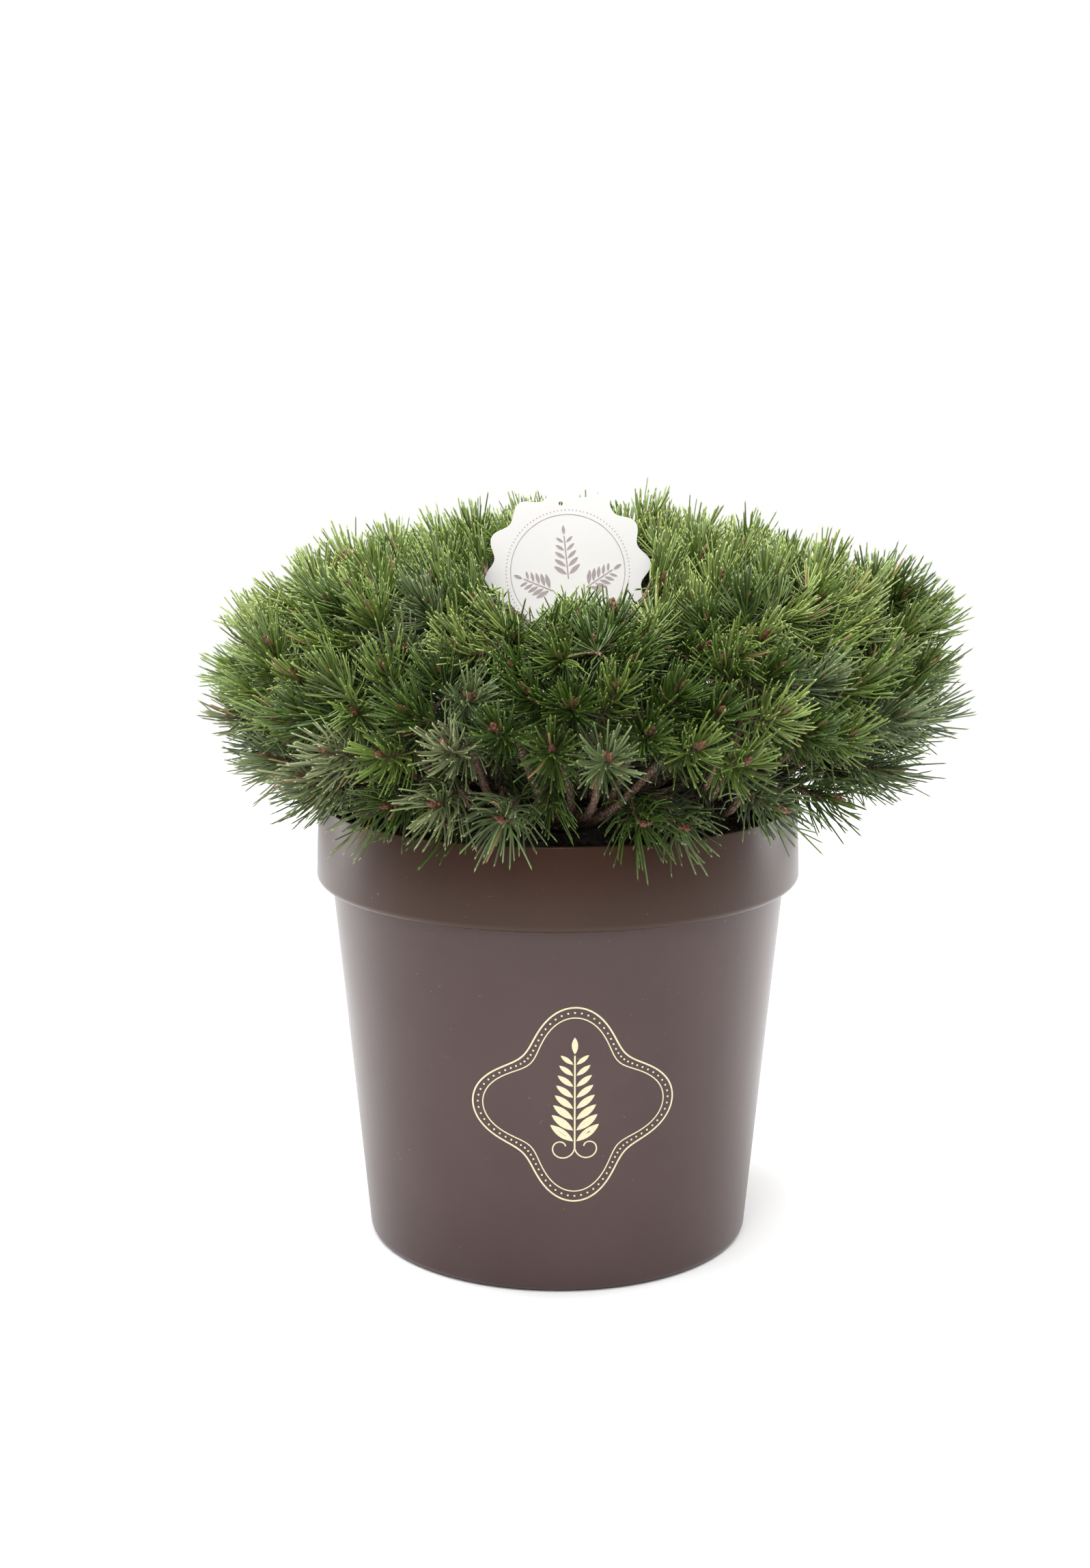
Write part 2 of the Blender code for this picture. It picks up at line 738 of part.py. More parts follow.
def main():
    clear_scene()
    rng = random.Random(SEED)
    plastic = material("pot_plastic", (0.115, 0.082, 0.072), 0.32)
    earth = material("soil", (0.030, 0.022, 0.017), 0.95)
    bark = material("bark", (0.190, 0.130, 0.095), 0.90)
    needles = material("needles", (0.085, 0.175, 0.045), 0.55)
    card = material("label_white", (0.86, 0.85, 0.85), 0.45)

    make_pot(plastic)
    soil = make_soil(earth)
    cut_slot(soil)
    trunk_tree = make_trunk(bark)
    make_label(card)
    plans = plan_masses()
    for plan in plans:
        plan_bough(plan, trunk_tree)
        make_bough(plan, bark)
    candidates = dome_candidates()
    for plan in plans:
        make_mass(plan, plans, candidates, needles, rng)


main()
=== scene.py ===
"""A mugo pine in a round nursery pot: the finished look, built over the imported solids.

Metres, +Z up, the front towards -Y. The crown follows the rule of the part's source, carried to
finer twigs, and every shoot carries its own needles.
"""

import math
import random

import bmesh
import bpy
import numpy as np
from mathutils import Matrix, Vector, noise
from mathutils.bvhtree import BVHTree


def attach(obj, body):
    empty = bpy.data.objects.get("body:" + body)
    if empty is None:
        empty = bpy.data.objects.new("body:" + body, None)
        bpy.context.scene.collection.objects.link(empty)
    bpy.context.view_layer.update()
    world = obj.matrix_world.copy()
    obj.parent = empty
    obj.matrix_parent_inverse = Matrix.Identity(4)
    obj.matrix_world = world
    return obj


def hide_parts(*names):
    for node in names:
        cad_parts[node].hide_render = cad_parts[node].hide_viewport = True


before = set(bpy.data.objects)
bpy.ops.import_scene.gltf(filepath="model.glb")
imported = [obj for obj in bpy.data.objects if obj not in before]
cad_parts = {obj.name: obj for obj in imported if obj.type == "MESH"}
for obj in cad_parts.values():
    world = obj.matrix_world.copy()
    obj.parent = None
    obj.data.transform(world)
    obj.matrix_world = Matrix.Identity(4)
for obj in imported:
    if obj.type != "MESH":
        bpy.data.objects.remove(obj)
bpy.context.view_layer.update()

SEED = 7
GOLDEN_TURN = math.pi * (3 - math.sqrt(5))
UP = Vector((0, 0, 1))
NEAR_UPRIGHT = 0.9
SAME_PLACE = 0.00001
NEVER_ZERO = 1e-6

# Pot and soil, as in the part's source, but rounder
POT_HEIGHT = 0.376
RIM_RADIUS = 0.200
BAND_HEIGHT = 0.068
BAND_FOOT_RADIUS = 0.2025
BAND_FOOT_ROUND = 0.006
BODY_TOP_RADIUS = 0.190
BASE_RADIUS = 0.1615
BASE_ROUND = 0.007
WALL = 0.003
POT_SIDES = 176
POT_SHARP = 35
ARC_STEPS = 7
BAND_FOOT = POT_HEIGHT - BAND_HEIGHT
# The pot's colour changes here, from the body's painted reflection to the darker band
BAND_COLOUR_FOOT = BAND_FOOT + 0.001
SOIL_DROP = 0.030
SOIL_MOUND = 0.008
SOIL_EDGE = POT_HEIGHT - SOIL_DROP
GROUND = SOIL_EDGE + SOIL_MOUND
MOUND_FLAT = 0.055
MOUND_POWER = 1.2
SKIN_GAP = 0.0003
SOIL_RINGS = 46
SOIL_SIDES = 150
SOIL_SUNK = 0.0015
SOIL_LUMP = 0.0021
SOIL_LUMPS_PER_METRE = 55
SOIL_FRACTAL = (0.9, 2.1, 4)
CRUMBS = 1100
CRUMB_SIZE = (0.0016, 0.0075)
CRUMB_SIZE_POWER = 2.5
CRUMB_WIDTH = (0.35, 0.80)
CRUMB_HEIGHT = (0.18, 0.45)
CRUMB_ROUGHNESS = (0.75, 1.25)
CRUMB_SHRINK = 1.2
CRUMB_TILT = 0.5
CRUMB_SPREAD = (0.01, 1)
CRUMB_MARGIN = 0.010

# Trunk
GAP = 0.0003
TRUNK_BASE = Vector((-0.012, -0.014, GROUND + GAP))
TRUNK_TOP = Vector((-0.003, -0.010, GROUND + 0.078))
TRUNK_RADIUS = 0.026
TRUNK_TAPER = 0.86
FLARE = 0.012
FLARE_HEIGHT = 0.014
FLARE_ROOTS = 5
FLARE_EVEN = 0.55
FLARE_RIDGED = 0.45

# Crown
CROWN_MIDDLE = Vector((0.016, 0.0, POT_HEIGHT + 0.075))
CROWN_REACH = 0.2715
CROWN_UP = 0.136
CROWN_TOP = CROWN_MIDDLE.z + CROWN_UP
CROWN_DOWN = 0.088
CROWN_POWER = 2.3

# Direction, height and width in radians of each lobe of the dome
LOBES = {
    "right shoulder": (Vector((0.95, -0.06, 0.39)).normalized(), 0.046, 0.20),
    "dip inside the right shoulder": (Vector((0.80, 0.00, 0.58)).normalized(), -0.040, 0.15),
    "low right": (Vector((0.95, -0.15, -0.26)).normalized(), 0.018, 0.16),
    "left shoulder": (Vector((-0.94, -0.10, 0.30)).normalized(), 0.014, 0.24),
    "rise at the back": (Vector((0.40, 0.45, 0.80)).normalized(), 0.010, 0.20),
    "hollow before the label": (Vector((-0.03, -0.42, 0.91)).normalized(), -0.075, 0.26),
    "low front": (Vector((-0.04, -0.83, 0.55)).normalized(), -0.035, 0.38),
}
LOWEST_SHOOT = POT_HEIGHT + 0.014

# Number, tilt and first azimuth of each ring's masses, and where their boughs leave and end
MASS_RINGS = {
    "top": {"count": 5, "tilt": 39, "first": 77, "leaves_at": 1.0, "drop": 0.0},
    "shoulder": {"count": 7, "tilt": 63, "first": 64, "leaves_at": 0.66, "drop": 0.010},
    "skirt": {"count": 10, "tilt": 87, "first": 55.5, "leaves_at": 0.27, "drop": 0.026},
}
INNER_SHARE = 0.54
MASS_CLEARANCE = 0.0012
CORE_MIDDLE_SHARE = 0.80
HEART_DEPTH = 0.038

# Boughs
BOUGH_RADIUS = {"top": 0.0072, "shoulder": 0.0068, "skirt": 0.0064}
BOUGH_TIP_SHARE = 0.62
BOUGH_POINTS = 28
BOUGH_STRIDE = 3
BOUGH_FOOT = 0.008
BOUGH_PULL = (0.55, 0.35)
BOUGH_STAGGER = 0.13
BOUGH_UPTURN = 0.9
BOUGH_SUNK = 0.004
SEAT_FROM = 0.070
SEAT_RAYS = 24
SEAT_SHARES = (0.0, 0.35, 0.70, 1.0)
FORK_SPREAD = 0.0135
FORK_UPTURN = 0.45
STEM_TAPER = (1.0, 0.98, 0.80)

# Bark relief
BARK_STEP = 0.0021
BARK_SIDES = 22
TRUNK_STEP = 0.0018
TRUNK_SIDES = 64
PLATE_SIZE = 0.0058
PLATE_RISE = 0.0011
PLATE_EDGE = 2.4
PLATE_LEVEL = 0.75
TRUNK_PLATE = 1.5
TWIG_PLATE = 0.0034
TWIG_RISE = PLATE_RISE * 0.4
SHOOT_RISE = PLATE_RISE * 0.3
STEM_RISE = PLATE_RISE * 0.7
STEM_PLATE = TWIG_PLATE * 1.3
STEM_STEP = BARK_STEP * 1.5
STEM_SIDES = 12

# Twigs and shoots
OUTER_SPACING = 0.0350
INNER_SPACING = 0.0440
INNER_DEPTHS = (0.036, 0.072)
OPEN_HEIGHT = 0.066
OPEN_SPACING = (0.070, 0.046)
OPEN_FRONT = -0.075
OPEN_LEFT = -0.070
SITE_MARGIN = 0.004
SITE_CANDIDATES = 6000
DOME_SHARE = 1.35
TWIG_RADIUS = 0.0034
TWIG_TAPER = 0.86
TWIG_SHARE = 0.45
TWIG_SIDES = 7
TWIG_STEP = 0.006
SHOOT_RADIUS = 0.0019
SHOOT_DEPTH = (-0.010, 0.006)
SHOOT_ONWARD = 0.35
SHOOT_UPTURN = (0.22, 1.40)
UPTURN_POWER = 0.85
SHOOT_WANDER = 0.18
SHOOT_PULL = 0.030
SHOOT_VIGOUR = (0.90, 1.04)
LEAFY_LENGTH = 0.042
BARE_STEMS = 8
BARE_STEM_RADIUS = (0.0042, 0.0029)
BARE_STEM_LOW = (0.000, 0.018)
BARE_STEM_REACH = (0.130, 0.172)
BARE_STEM_SWAY = 0.050
BARE_STEM_SIDES = 10
BARE_STEM_FOOT = (0.10, 0.50)
BARE_STEM_POINTS = 14
BARE_STEM_PULL = (0.7, 0.3)
BARE_SHOOT = 0.040

# Needles
NEEDLE_PAIRS = 54
LEAST_PAIRS = 0.5
NEEDLE_LENGTH = 0.0365
NEEDLE_VARIATION = 0.20
NEEDLE_WIDTH = 0.0017
NEEDLE_THICKNESS = 0.0011
NEEDLE_MARGIN = 0.0010
TESTS_BELOW_BEND = (0.5, 1.0)
TESTS_ABOVE_BEND = (0.33, 0.66, 1.0)
LEAN_AT_TIP = 14
LEAN_AT_FOOT = 58
LEAN_SPREAD = 10
LEAN_POWER = 0.75
BACK_POWER = 0.9
FOOT_SHORTER = 0.16
FOOT_OUT = 0.6
NEEDLE_BEND = 34
BEND_VARIATION = (0.2, 1.5)
NEEDLE_LIFT = 0.16
LIFT_VARIATION = (0.2, 1.8)
PAIR_SPREAD = 9
PAIR_VARIATION = (0.3, 1.2)
TURN_SPREAD = 0.15
NEEDLE_OUTLINE = ((-0.5, -0.35), (0.5, -0.35), (0.0, 0.65))
NEEDLE_RINGS = ((0.0, 0.80), (0.5, 1.0), (0.93, 0.78))
INNER_RINGS = ((0.0, 0.9), (0.9, 0.8))
DRY_SHARE = 0.006
INNER_FULLNESS = 0.55
LEAST_NEEDLES = 0.40
RIM_TUFT_HEIGHT = 0.075
RIM_TUFT_FRONT = (-0.07, 0.03)
RIM_TUFT_LONGER = 0.34
RIM_TUFT_FEWER = 0.42
RIM_TUFT_DROOP = 0.50
RIM_TUFT_BEND = 1.6

# Buds
BUD_LENGTH = 0.0125
BUD_RADIUS = 0.0027
BUD_SIDES = 6
BUD_RINGS = 7
BUD_SIZE = (0.7, 1.15)
BUD_NECK = 0.22
BUD_POWER = 0.75
BUD_END = 0.04
BUD_SCALES = (0.92, 1.10)
BUD_NEEDLES = 0.62
SIDE_BUDS = 2
SIDE_BUD_TURN = 2.3
SIDE_BUD_LEAN = 0.7
SIDE_BUD_LENGTH = 0.62
SIDE_BUD_RADIUS = 0.68
SIDE_BUD_OUT = 0.6
SIDE_BUD_BACK = 0.001

# Label
LABEL_MIDDLE = Vector((0.008, 0.018, POT_HEIGHT + 0.185))
LABEL_RADIUS = 0.0656
LABEL_SCALLOP = 0.0038
LABEL_SCALLOPS = 12
LABEL_THICKNESS = 0.0012
LABEL_ROLL = -6
LABEL_HOLE_RADIUS = 0.0018
LABEL_HOLE_INSET = 0.009
LABEL_HOLE_SIDES = 24
LABEL_SHARP = 40
SCALLOP_STEPS = 16
STAKE_WIDTH = 0.013
STAKE_POINT = 0.018
STAKE_IN_SOIL = 0.045
LABEL_ROOM = 0.004
VIEW_WIDTH = 0.066
VIEW_DEPTH = 0.22
VIEW_HEIGHT = POT_HEIGHT + 0.162
VIEW_SLOPE = 0.118
VIEW_SPARE = 0.014
VIEW_FRINGE = 0.020
VIEW_DIP = (-0.030, 0.016, 0.018)
LABEL_RING = 0.0475
LABEL_RING_SIDES = 180
LABEL_LINE = 0.0006
LABEL_DOTS = 0.0512
LABEL_DOT_COUNT = 104
LABEL_DOT_RADIUS = 0.00055
DOT_SIDES = 8
INK_RISE = 0.00012
INK_FADED = 0.82

# Lean, foot and height of each sprig on the label
SPRIG_FAN = ((0, 0.016, 0.036), (-62, 0.016, 0.026), (62, 0.016, 0.026))
SPRIG_FOOT = -0.022
SPRIG_PAIRS = 5
SPRIG_LEAF = 0.0125
SPRIG_LINE = 0.0011

# Ornament on the pot
ORNAMENT_X = 0.0135
ORNAMENT_Z = 0.163
ORNAMENT_REACH = 0.070
ORNAMENT_LOBES = 4
ORNAMENT_LOBE = 0.012
ORNAMENT_STEPS = 240
ORNAMENT_LINE = 0.0013
ORNAMENT_RISE = 0.00018
THIN_LINE_INSET = 0.0085
THIN_LINE = ORNAMENT_LINE * 0.7
BEAD_INSET = 0.0043
BEADS = 92
BEAD_RADIUS = 0.0008
ORNAMENT_FOOT = -0.036
ORNAMENT_SPRIG = 0.078
ORNAMENT_PAIRS = 8
ORNAMENT_LEAF = 0.0225
SCROLL_LINE = ORNAMENT_LINE * 0.8
SCROLL_RADIUS = 0.0105
SCROLL_TURN = 5.9
SCROLL_SHRINK = 0.66
SCROLL_STEPS = 32

# Leaves of the printed sprigs, as shares of the largest leaf or of the stem
STROKE_STEPS = 20
FIRST_PAIR = 0.6
LAST_PAIR = 0.4
LEAF_LARGEST = 1.05
LEAF_TAPER = 0.55
LEAF_WIDTH = 0.30
LEAF_LEAN = 52
LEAF_STEPS = 9
LEAF_POWER = 0.8
TIP_LENGTH = 0.62
TIP_WIDTH = 0.22
LAYER_FIRST = 1.1
LAYER_STEP = 0.1

# Stage
FLOOR_RADIUS = 2.4
FLOOR_SIDES = 96

# Place, target, size and power of each lamp
SOFTBOXES = {
    "light_above": ((-0.1, -0.3, 2.6), (0.0, 0.0, 0.0), (2.4, 2.4), 120),
    "light_front": ((-0.3, -2.4, 2.0), (0.0, 0.0, 0.45), (1.4, 1.0), 29),
    "light_left": ((-1.7, 0.7, 0.8), (0.0, 0.0, 0.25), (0.8, 1.6), 16),
    "light_right": ((1.7, 0.7, 0.8), (0.0, 0.0, 0.25), (0.8, 1.6), 16),
}

# The world's light, by how far a ray goes towards the back
SURROUNDINGS = {"From Min": -0.9, "From Max": 0.2, "To Min": 0.25, "To Max": 1.0}

# Camera, fitted to the photo
SENSOR = 36
LENS = 53.19
CAMERA_PLACE = (0.0, -1.905, 0.7663)
CAMERA_DOWN = 11.333
CAMERA_TURN = 0.325


# Materials


class Socket:
    """One output of a node, on which Python's operators add Math nodes."""

    def __init__(self, nodes, output):
        self.nodes = nodes
        self.output = output

    def math(self, operation, other):
        return self.nodes.node("ShaderNodeMath", {"operation": operation}, {0: self, 1: other})

    def __add__(self, other):
        return self.math("ADD", other)

    __radd__ = __add__

    def __mul__(self, other):
        return self.math("MULTIPLY", other)

    __rmul__ = __mul__

    def above(self, threshold):
        return self.math("GREATER_THAN", threshold)

    def below(self, threshold):
        return self.math("LESS_THAN", threshold)

    def at_least(self, other):
        return self.math("MAXIMUM", other)

    def at_most(self, other):
        return self.math("MINIMUM", other)


class Nodes:
    """A node tree, and the one method that adds a node to it."""

    def __init__(self, tree):
        self.tree = tree

    def node(self, kind, settings=None, sockets=None, output=0):
        """Adds a node: its type, its settings, and the values or links of its sockets."""
        made = self.tree.nodes.new(kind)
        for setting, value in (settings or {}).items():
            if setting == "stops":
                set_stops(made.color_ramp, value)
            else:
                setattr(made, setting, value)
        for socket, value in (sockets or {}).items():
            if isinstance(value, Socket):
                self.tree.links.new(value.output, made.inputs[socket])
            else:
                made.inputs[socket].default_value = value
        return Socket(self, made.outputs[output])


class Finish(Nodes):
    """A material made on the Principled shader."""

    def __init__(self, name, colour, roughness, **constants):
        self.material = bpy.data.materials.new(name)
        self.material.use_nodes = True
        super().__init__(self.material.node_tree)
        self.surface = self.tree.nodes["Principled BSDF"]
        self.surface.inputs["Base Color"].default_value = (*colour, 1.0)
        self.surface.inputs["Roughness"].default_value = roughness
        for socket, value in constants.items():
            self.surface.inputs[socket.replace("_", " ")].default_value = value

    def place(self, stretch=(1, 1, 1)):
        """The point on the object, stretched along its axes."""
        point = self.node("ShaderNodeTexCoord", output="Object")
        return self.node("ShaderNodeVectorMath", {"operation": "MULTIPLY"}, {0: point, 1: stretch})

    def noise(self, scale, detail=2.0, roughness=0.5, stretch=(1, 1, 1)):
        sockets = {
            "Vector": self.place(stretch), "Scale": scale, "Detail": detail, "Roughness": roughness,
        }
        return self.node("ShaderNodeTexNoise", None, sockets, "Fac")

    def cells(self, scale, feature="F1", stretch=(1, 1, 1)):
        """Distance to the middle of the nearest cell, or to its edge."""
        sockets = {"Vector": self.place(stretch), "Scale": scale}
        return self.node("ShaderNodeTexVoronoi", {"feature": feature}, sockets, "Distance")

    def ramp(self, value, *stops):
        return self.node("ShaderNodeValToRGB", {"stops": stops}, {0: value}, "Color")

    def mix(self, share, first, second):
        """The first colour where the share is 0, and the second where it is 1."""
        sockets = {0: share, 6: as_colour(first), 7: as_colour(second)}
        return self.node("ShaderNodeMix", {"data_type": "RGBA"}, sockets, 2)

    def feed(self, socket, value):
        self.tree.links.new(value.output, self.surface.inputs[socket])

    def colour_by(self, value, *stops):
        """Lets the base colour follow a value, by stops of a place and a colour."""
        self.feed("Base Color", self.ramp(value, *stops))

    def bump(self, height, strength, distance):
        sockets = {"Height": height, "Strength": strength, "Distance": distance}
        self.feed("Normal", self.node("ShaderNodeBump", None, sockets, "Normal"))


def set_stops(ramp, stops):
    """Gives a colour ramp its stops, each a place and a colour."""
    while len(ramp.elements) < len(stops):
        ramp.elements.new(1.0)
    for element, (position, colour) in zip(ramp.elements, stops):
        element.position = position
        element.color = (*colour, 1.0)


def as_colour(value):
    return value if isinstance(value, Socket) else (*value, 1.0)


def pot_plastic():
    """Semi-gloss brown plastic with faint clouds, dust and fine scratches, darker on the band; the
    lighter body is a painted reflection of the pale floor.
    """
    base = (0.070, 0.045, 0.036)
    finish = Finish("pot_plastic", base, roughness=0.30, Specular_IOR_Level=0.27)
    clouds = finish.noise(scale=9, detail=4, roughness=0.6)
    dust = finish.noise(scale=260, detail=2, roughness=0.7).above(0.745)
    scratch = finish.noise(scale=34, detail=3, roughness=0.6, stretch=(1, 1, 14)).above(0.735)
    # The body's lighter, greyer tone is a painted reflection of the pale floor; the band is darker
    body = finish.ramp(clouds, (0.30, (0.056, 0.032, 0.030)), (0.72, (0.068, 0.041, 0.038)))
    band = finish.ramp(clouds, (0.30, (0.034, 0.013, 0.006)), (0.72, (0.042, 0.017, 0.009)))
    height = finish.node("ShaderNodeSeparateXYZ", None, {0: finish.place()}, "Z")
    colour = finish.mix(height.above(BAND_COLOUR_FOOT), body, band)
    marked = finish.mix((dust * 0.35).at_least(scratch * 0.10), colour, (0.30, 0.25, 0.22))
    finish.feed("Base Color", marked)
    finish.feed("Roughness", 0.24 + clouds * 0.12 + dust * 0.25 + scratch * 0.12)
    fine = finish.noise(scale=620, detail=3, roughness=0.6)
    coarse = finish.noise(scale=24, detail=2)
    finish.bump(fine * 0.3 + coarse * 0.7, strength=0.10, distance=0.0006)
    return finish.material


def ink(name, colour, roughness):
    """Printed ink, a little uneven where it lies on the plastic."""
    finish = Finish(name, colour, roughness)
    worn = finish.noise(scale=900, detail=2, roughness=0.6)
    faded = tuple(INK_FADED * part for part in colour)
    finish.colour_by(worn, (0.34, faded), (0.52, colour))
    return finish.material


def soil_finish():
    """Dark damp potting soil with fibres and pale grains."""
    finish = Finish("soil", (0.03, 0.022, 0.017), roughness=0.95)
    lumps = finish.noise(scale=150, detail=5, roughness=0.7)
    grains = finish.cells(scale=520)
    colour = finish.ramp(
        lumps,
        (0.30, (0.010, 0.007, 0.005)),
        (0.55, (0.034, 0.024, 0.017)),
        (0.78, (0.075, 0.052, 0.036)),
    )
    finish.feed("Base Color", finish.mix(grains.below(0.16) * 0.6, colour, (0.085, 0.062, 0.046)))
    finish.bump(lumps + grains * 0.4, strength=0.9, distance=0.003)
    return finish.material


def crumb_finish():
    """Bits of bark and wood on the soil."""
    finish = Finish("soil_crumbs", (0.07, 0.045, 0.03), roughness=0.92)
    finish.colour_by(
        finish.noise(scale=70, detail=3, roughness=0.6),
        (0.32, (0.022, 0.014, 0.009)),
        (0.55, (0.075, 0.047, 0.030)),
        (0.72, (0.17, 0.115, 0.078)),
    )
    finish.bump(finish.noise(scale=500, detail=4, roughness=0.7), strength=0.7, distance=0.001)
    return finish.material


def bark_finish(name, scale, light, dark):
    """Scaly grey-brown bark: pale plates over dark furrows, with a warm tint here and there."""
    finish = Finish(name, light, roughness=0.88)
    furrow = finish.cells(scale, "DISTANCE_TO_EDGE", stretch=(1, 1, 0.6))
    tone = finish.noise(scale=60, detail=4, roughness=0.6)
    fine = finish.noise(scale=620, detail=4, roughness=0.65)
    warm = tuple(part * share for part, share in zip(light, (1.18, 0.92, 0.78)))
    plates = finish.mix(finish.ramp(tone, (0.38, (0, 0, 0)), (0.62, (1, 1, 1))), light, warm)
    grainy = finish.mix(fine * 0.75, plates, dark)
    spots = finish.ramp(furrow, (0.03, (1, 1, 1)), (0.16, (0, 0, 0)))
    finish.feed("Base Color", finish.mix(spots, grainy, dark))
    finish.bump(furrow.at_most(0.25) * 3 + fine * 0.5, strength=0.85, distance=0.0012)
    return finish.material


def bud_finish():
    """Resinous red-brown bud scales."""
    finish = Finish("buds", (0.17, 0.055, 0.030), roughness=0.45)
    finish.colour_by(
        finish.noise(scale=420, detail=3, roughness=0.6),
        (0.35, (0.085, 0.028, 0.018)),
        (0.55, (0.19, 0.068, 0.040)),
        (0.72, (0.34, 0.19, 0.13)),
    )
    return finish.material


def card_finish():
    """White plastic card with a faint orange-peel surface."""
    finish = Finish("label_card", (0.98, 0.96, 0.965), roughness=0.35)
    tone = finish.noise(scale=16, detail=3)
    finish.colour_by(tone, (0.3, (0.975, 0.945, 0.955)), (0.7, (0.99, 0.965, 0.975)))
    finish.bump(finish.noise(scale=300, detail=2, roughness=0.5), strength=0.05, distance=0.0004)
    return finish.material


def floor_finish():
    """A pale matt floor."""
    finish = Finish("floor", (0.93, 0.93, 0.93), roughness=0.6)
    tone = finish.noise(scale=3, detail=2)
    finish.colour_by(tone, (0.3, (0.925, 0.925, 0.925)), (0.7, (0.935, 0.935, 0.935)))
    return finish.material


# The greens of the needles, each with the colour of a needle's body and of its tip
GREENS = {
    "mid": ((0.150, 0.225, 0.042), (0.235, 0.305, 0.070)),
    "bright": ((0.255, 0.340, 0.088), (0.360, 0.430, 0.135)),
    "deep": ((0.066, 0.118, 0.016), (0.120, 0.180, 0.030)),
    "grey": ((0.146, 0.200, 0.078), (0.245, 0.298, 0.128)),
    "pale": ((0.235, 0.270, 0.125), (0.365, 0.400, 0.200)),
    # The inner green, darkest of all, is painted shade for the needles deep in the crown
    "inner": ((0.040, 0.062, 0.012), (0.060, 0.085, 0.020)),
}
TONES = 3

# Weight of each green, for inner shoots and for outer ones by the part of the crown; the inner green is
# painted shade
INNER_GREENS = {"inner": 0.50, "deep": 0.50}
OUTER_GREENS = {
    "bright": {"anywhere": 0.17, "top": 0.90, "front middle": -0.12},
    "mid": {"anywhere": 0.50},
    "deep": {"anywhere": 0.16, "low right": 0.80, "front middle": 0.65},
    "grey": {"anywhere": 0.06, "low left": 1.10, "rim right": 2.60},
    "pale": {"rim left": 2.80},
}
BRIGHT_LOSS_LOW = 0.85
LOSS_OVER_RIM = {"bright": 0.85, "mid": 0.85, "deep": 0.85}
TOP_FROM = 0.45
LOW_FALL = 1.6
LEFT_CHANGE = 0.06
FRONT_FROM = 0.12
FRONT_CHANGE = 0.05
MIDDLE_WIDTH = 0.12
# Some needles take a darker copy of their green, dealt out at random: painted shade
PAINTED_SHADE_TONE = 0.50
PAINTED_SHADE_SHARE = 0.42
DRY = (0.31, 0.185, 0.085)


def needle_finishes():
    """Body, painted-shade copy of the body and tip of each green, in the order of GREENS, and last the
    dry needles.
    """
    finishes = []
    for name, (body, tip) in GREENS.items():
        # A darker copy of the body: painted shade
        painted_shade = tuple(PAINTED_SHADE_TONE * part for part in body)
        finishes += [
            Finish(f"needles_{name}", body, roughness=0.36).material,
            Finish(f"needles_{name}_shaded", painted_shade, roughness=0.40).material,
            Finish(f"needle_tips_{name}", tip, roughness=0.50).material,
        ]
    return finishes + [Finish("needles_dry", DRY, roughness=0.60).material]


# Meshes from arrays


class Pile:
    """Points and triangles of many small shapes, joined into one piece."""

    def __init__(self):
        self.points = []
        self.triangles = []
        self.slots = []
        self.count = 0

    def add(self, points, triangles, slots=0):
        triangles = np.asarray(triangles, np.int32).reshape(-1, 3)
        self.points.append(np.asarray(points, np.float32).reshape(-1, 3))
        self.triangles.append(triangles + self.count)
        self.slots.append(np.broadcast_to(np.asarray(slots, np.int32), len(triangles)))
        self.count += len(self.points[-1])

    def piece(self, name, finishes, slot, smooth=True):
        """One object that rides on the root body and carries its finishes; the slot that it is given is
        not used.
        """
        points, triangles = np.concatenate(self.points), np.concatenate(self.triangles)
        mesh = bpy.data.meshes.new(name)
        mesh.vertices.add(len(points))
        mesh.vertices.foreach_set("co", points.ravel())
        mesh.loops.add(triangles.size)
        mesh.loops.foreach_set("vertex_index", triangles.ravel())
        mesh.polygons.add(len(triangles))
        mesh.polygons.foreach_set("loop_start", np.arange(0, triangles.size, 3, dtype=np.int32))
        mesh.polygons.foreach_set("material_index", np.concatenate(self.slots))
        for finish in finishes:
            mesh.materials.append(finish)
        mesh.update(calc_edges=True)
        if smooth:
            mesh.shade_smooth()
        else:
            mesh.shade_flat()
        return settle(bpy.data.objects.new(name, mesh))


def settle(obj):
    """Links a piece and lets it ride on the root body."""
    bpy.context.scene.collection.objects.link(obj)
    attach(obj, "root")
    return obj


def object_of(name, bm, finish, sharp):
    """Turns a bmesh into a piece that faces outwards, smooth up to a sharp angle in degrees."""
    bmesh.ops.recalc_face_normals(bm, faces=bm.faces)
    mesh = bpy.data.meshes.new(name)
    bm.to_mesh(mesh)
    bm.free()
    mesh.materials.append(finish)
    mesh.shade_smooth()
    mesh.set_sharp_from_angle(angle=math.radians(sharp))
    return settle(bpy.data.objects.new(name, mesh))


def tube_triangles(rings, sides, capped=True):
    """Triangles of a tube whose points run ring by ring, with its ends closed by fans."""
    side = np.arange(sides)
    after = (side + 1) % sides
    rows = []
    for ring in range(rings - 1):
        low, high = ring * sides, (ring + 1) * sides
        rows.append(np.stack([low + side, low + after, high + after], axis=1))
        rows.append(np.stack([low + side, high + after, high + side], axis=1))
    if capped:
        last = (rings - 1) * sides
        fan = np.arange(1, sides - 1)
        rows.append(np.stack([np.zeros_like(fan), fan + 1, fan], axis=1))
        rows.append(np.stack([np.full_like(fan, last), last + fan, last + fan + 1], axis=1))
    return np.concatenate(rows)


def on_circle(middle, radius, turn):
    """A point in the plane, by its distance from a middle and its turn in radians."""
    return middle[0] + radius * math.cos(turn), middle[1] + radius * math.sin(turn)


def at_angle(across, other, angle):
    """The direction at an angle between two directions at right angles."""
    return across * math.cos(angle) + other * math.sin(angle)


def tapered(radius, share, count):
    """Radii that change evenly from one radius to a share of it."""
    return [radius * (1 + (share - 1) * step / (count - 1)) for step in range(count)]


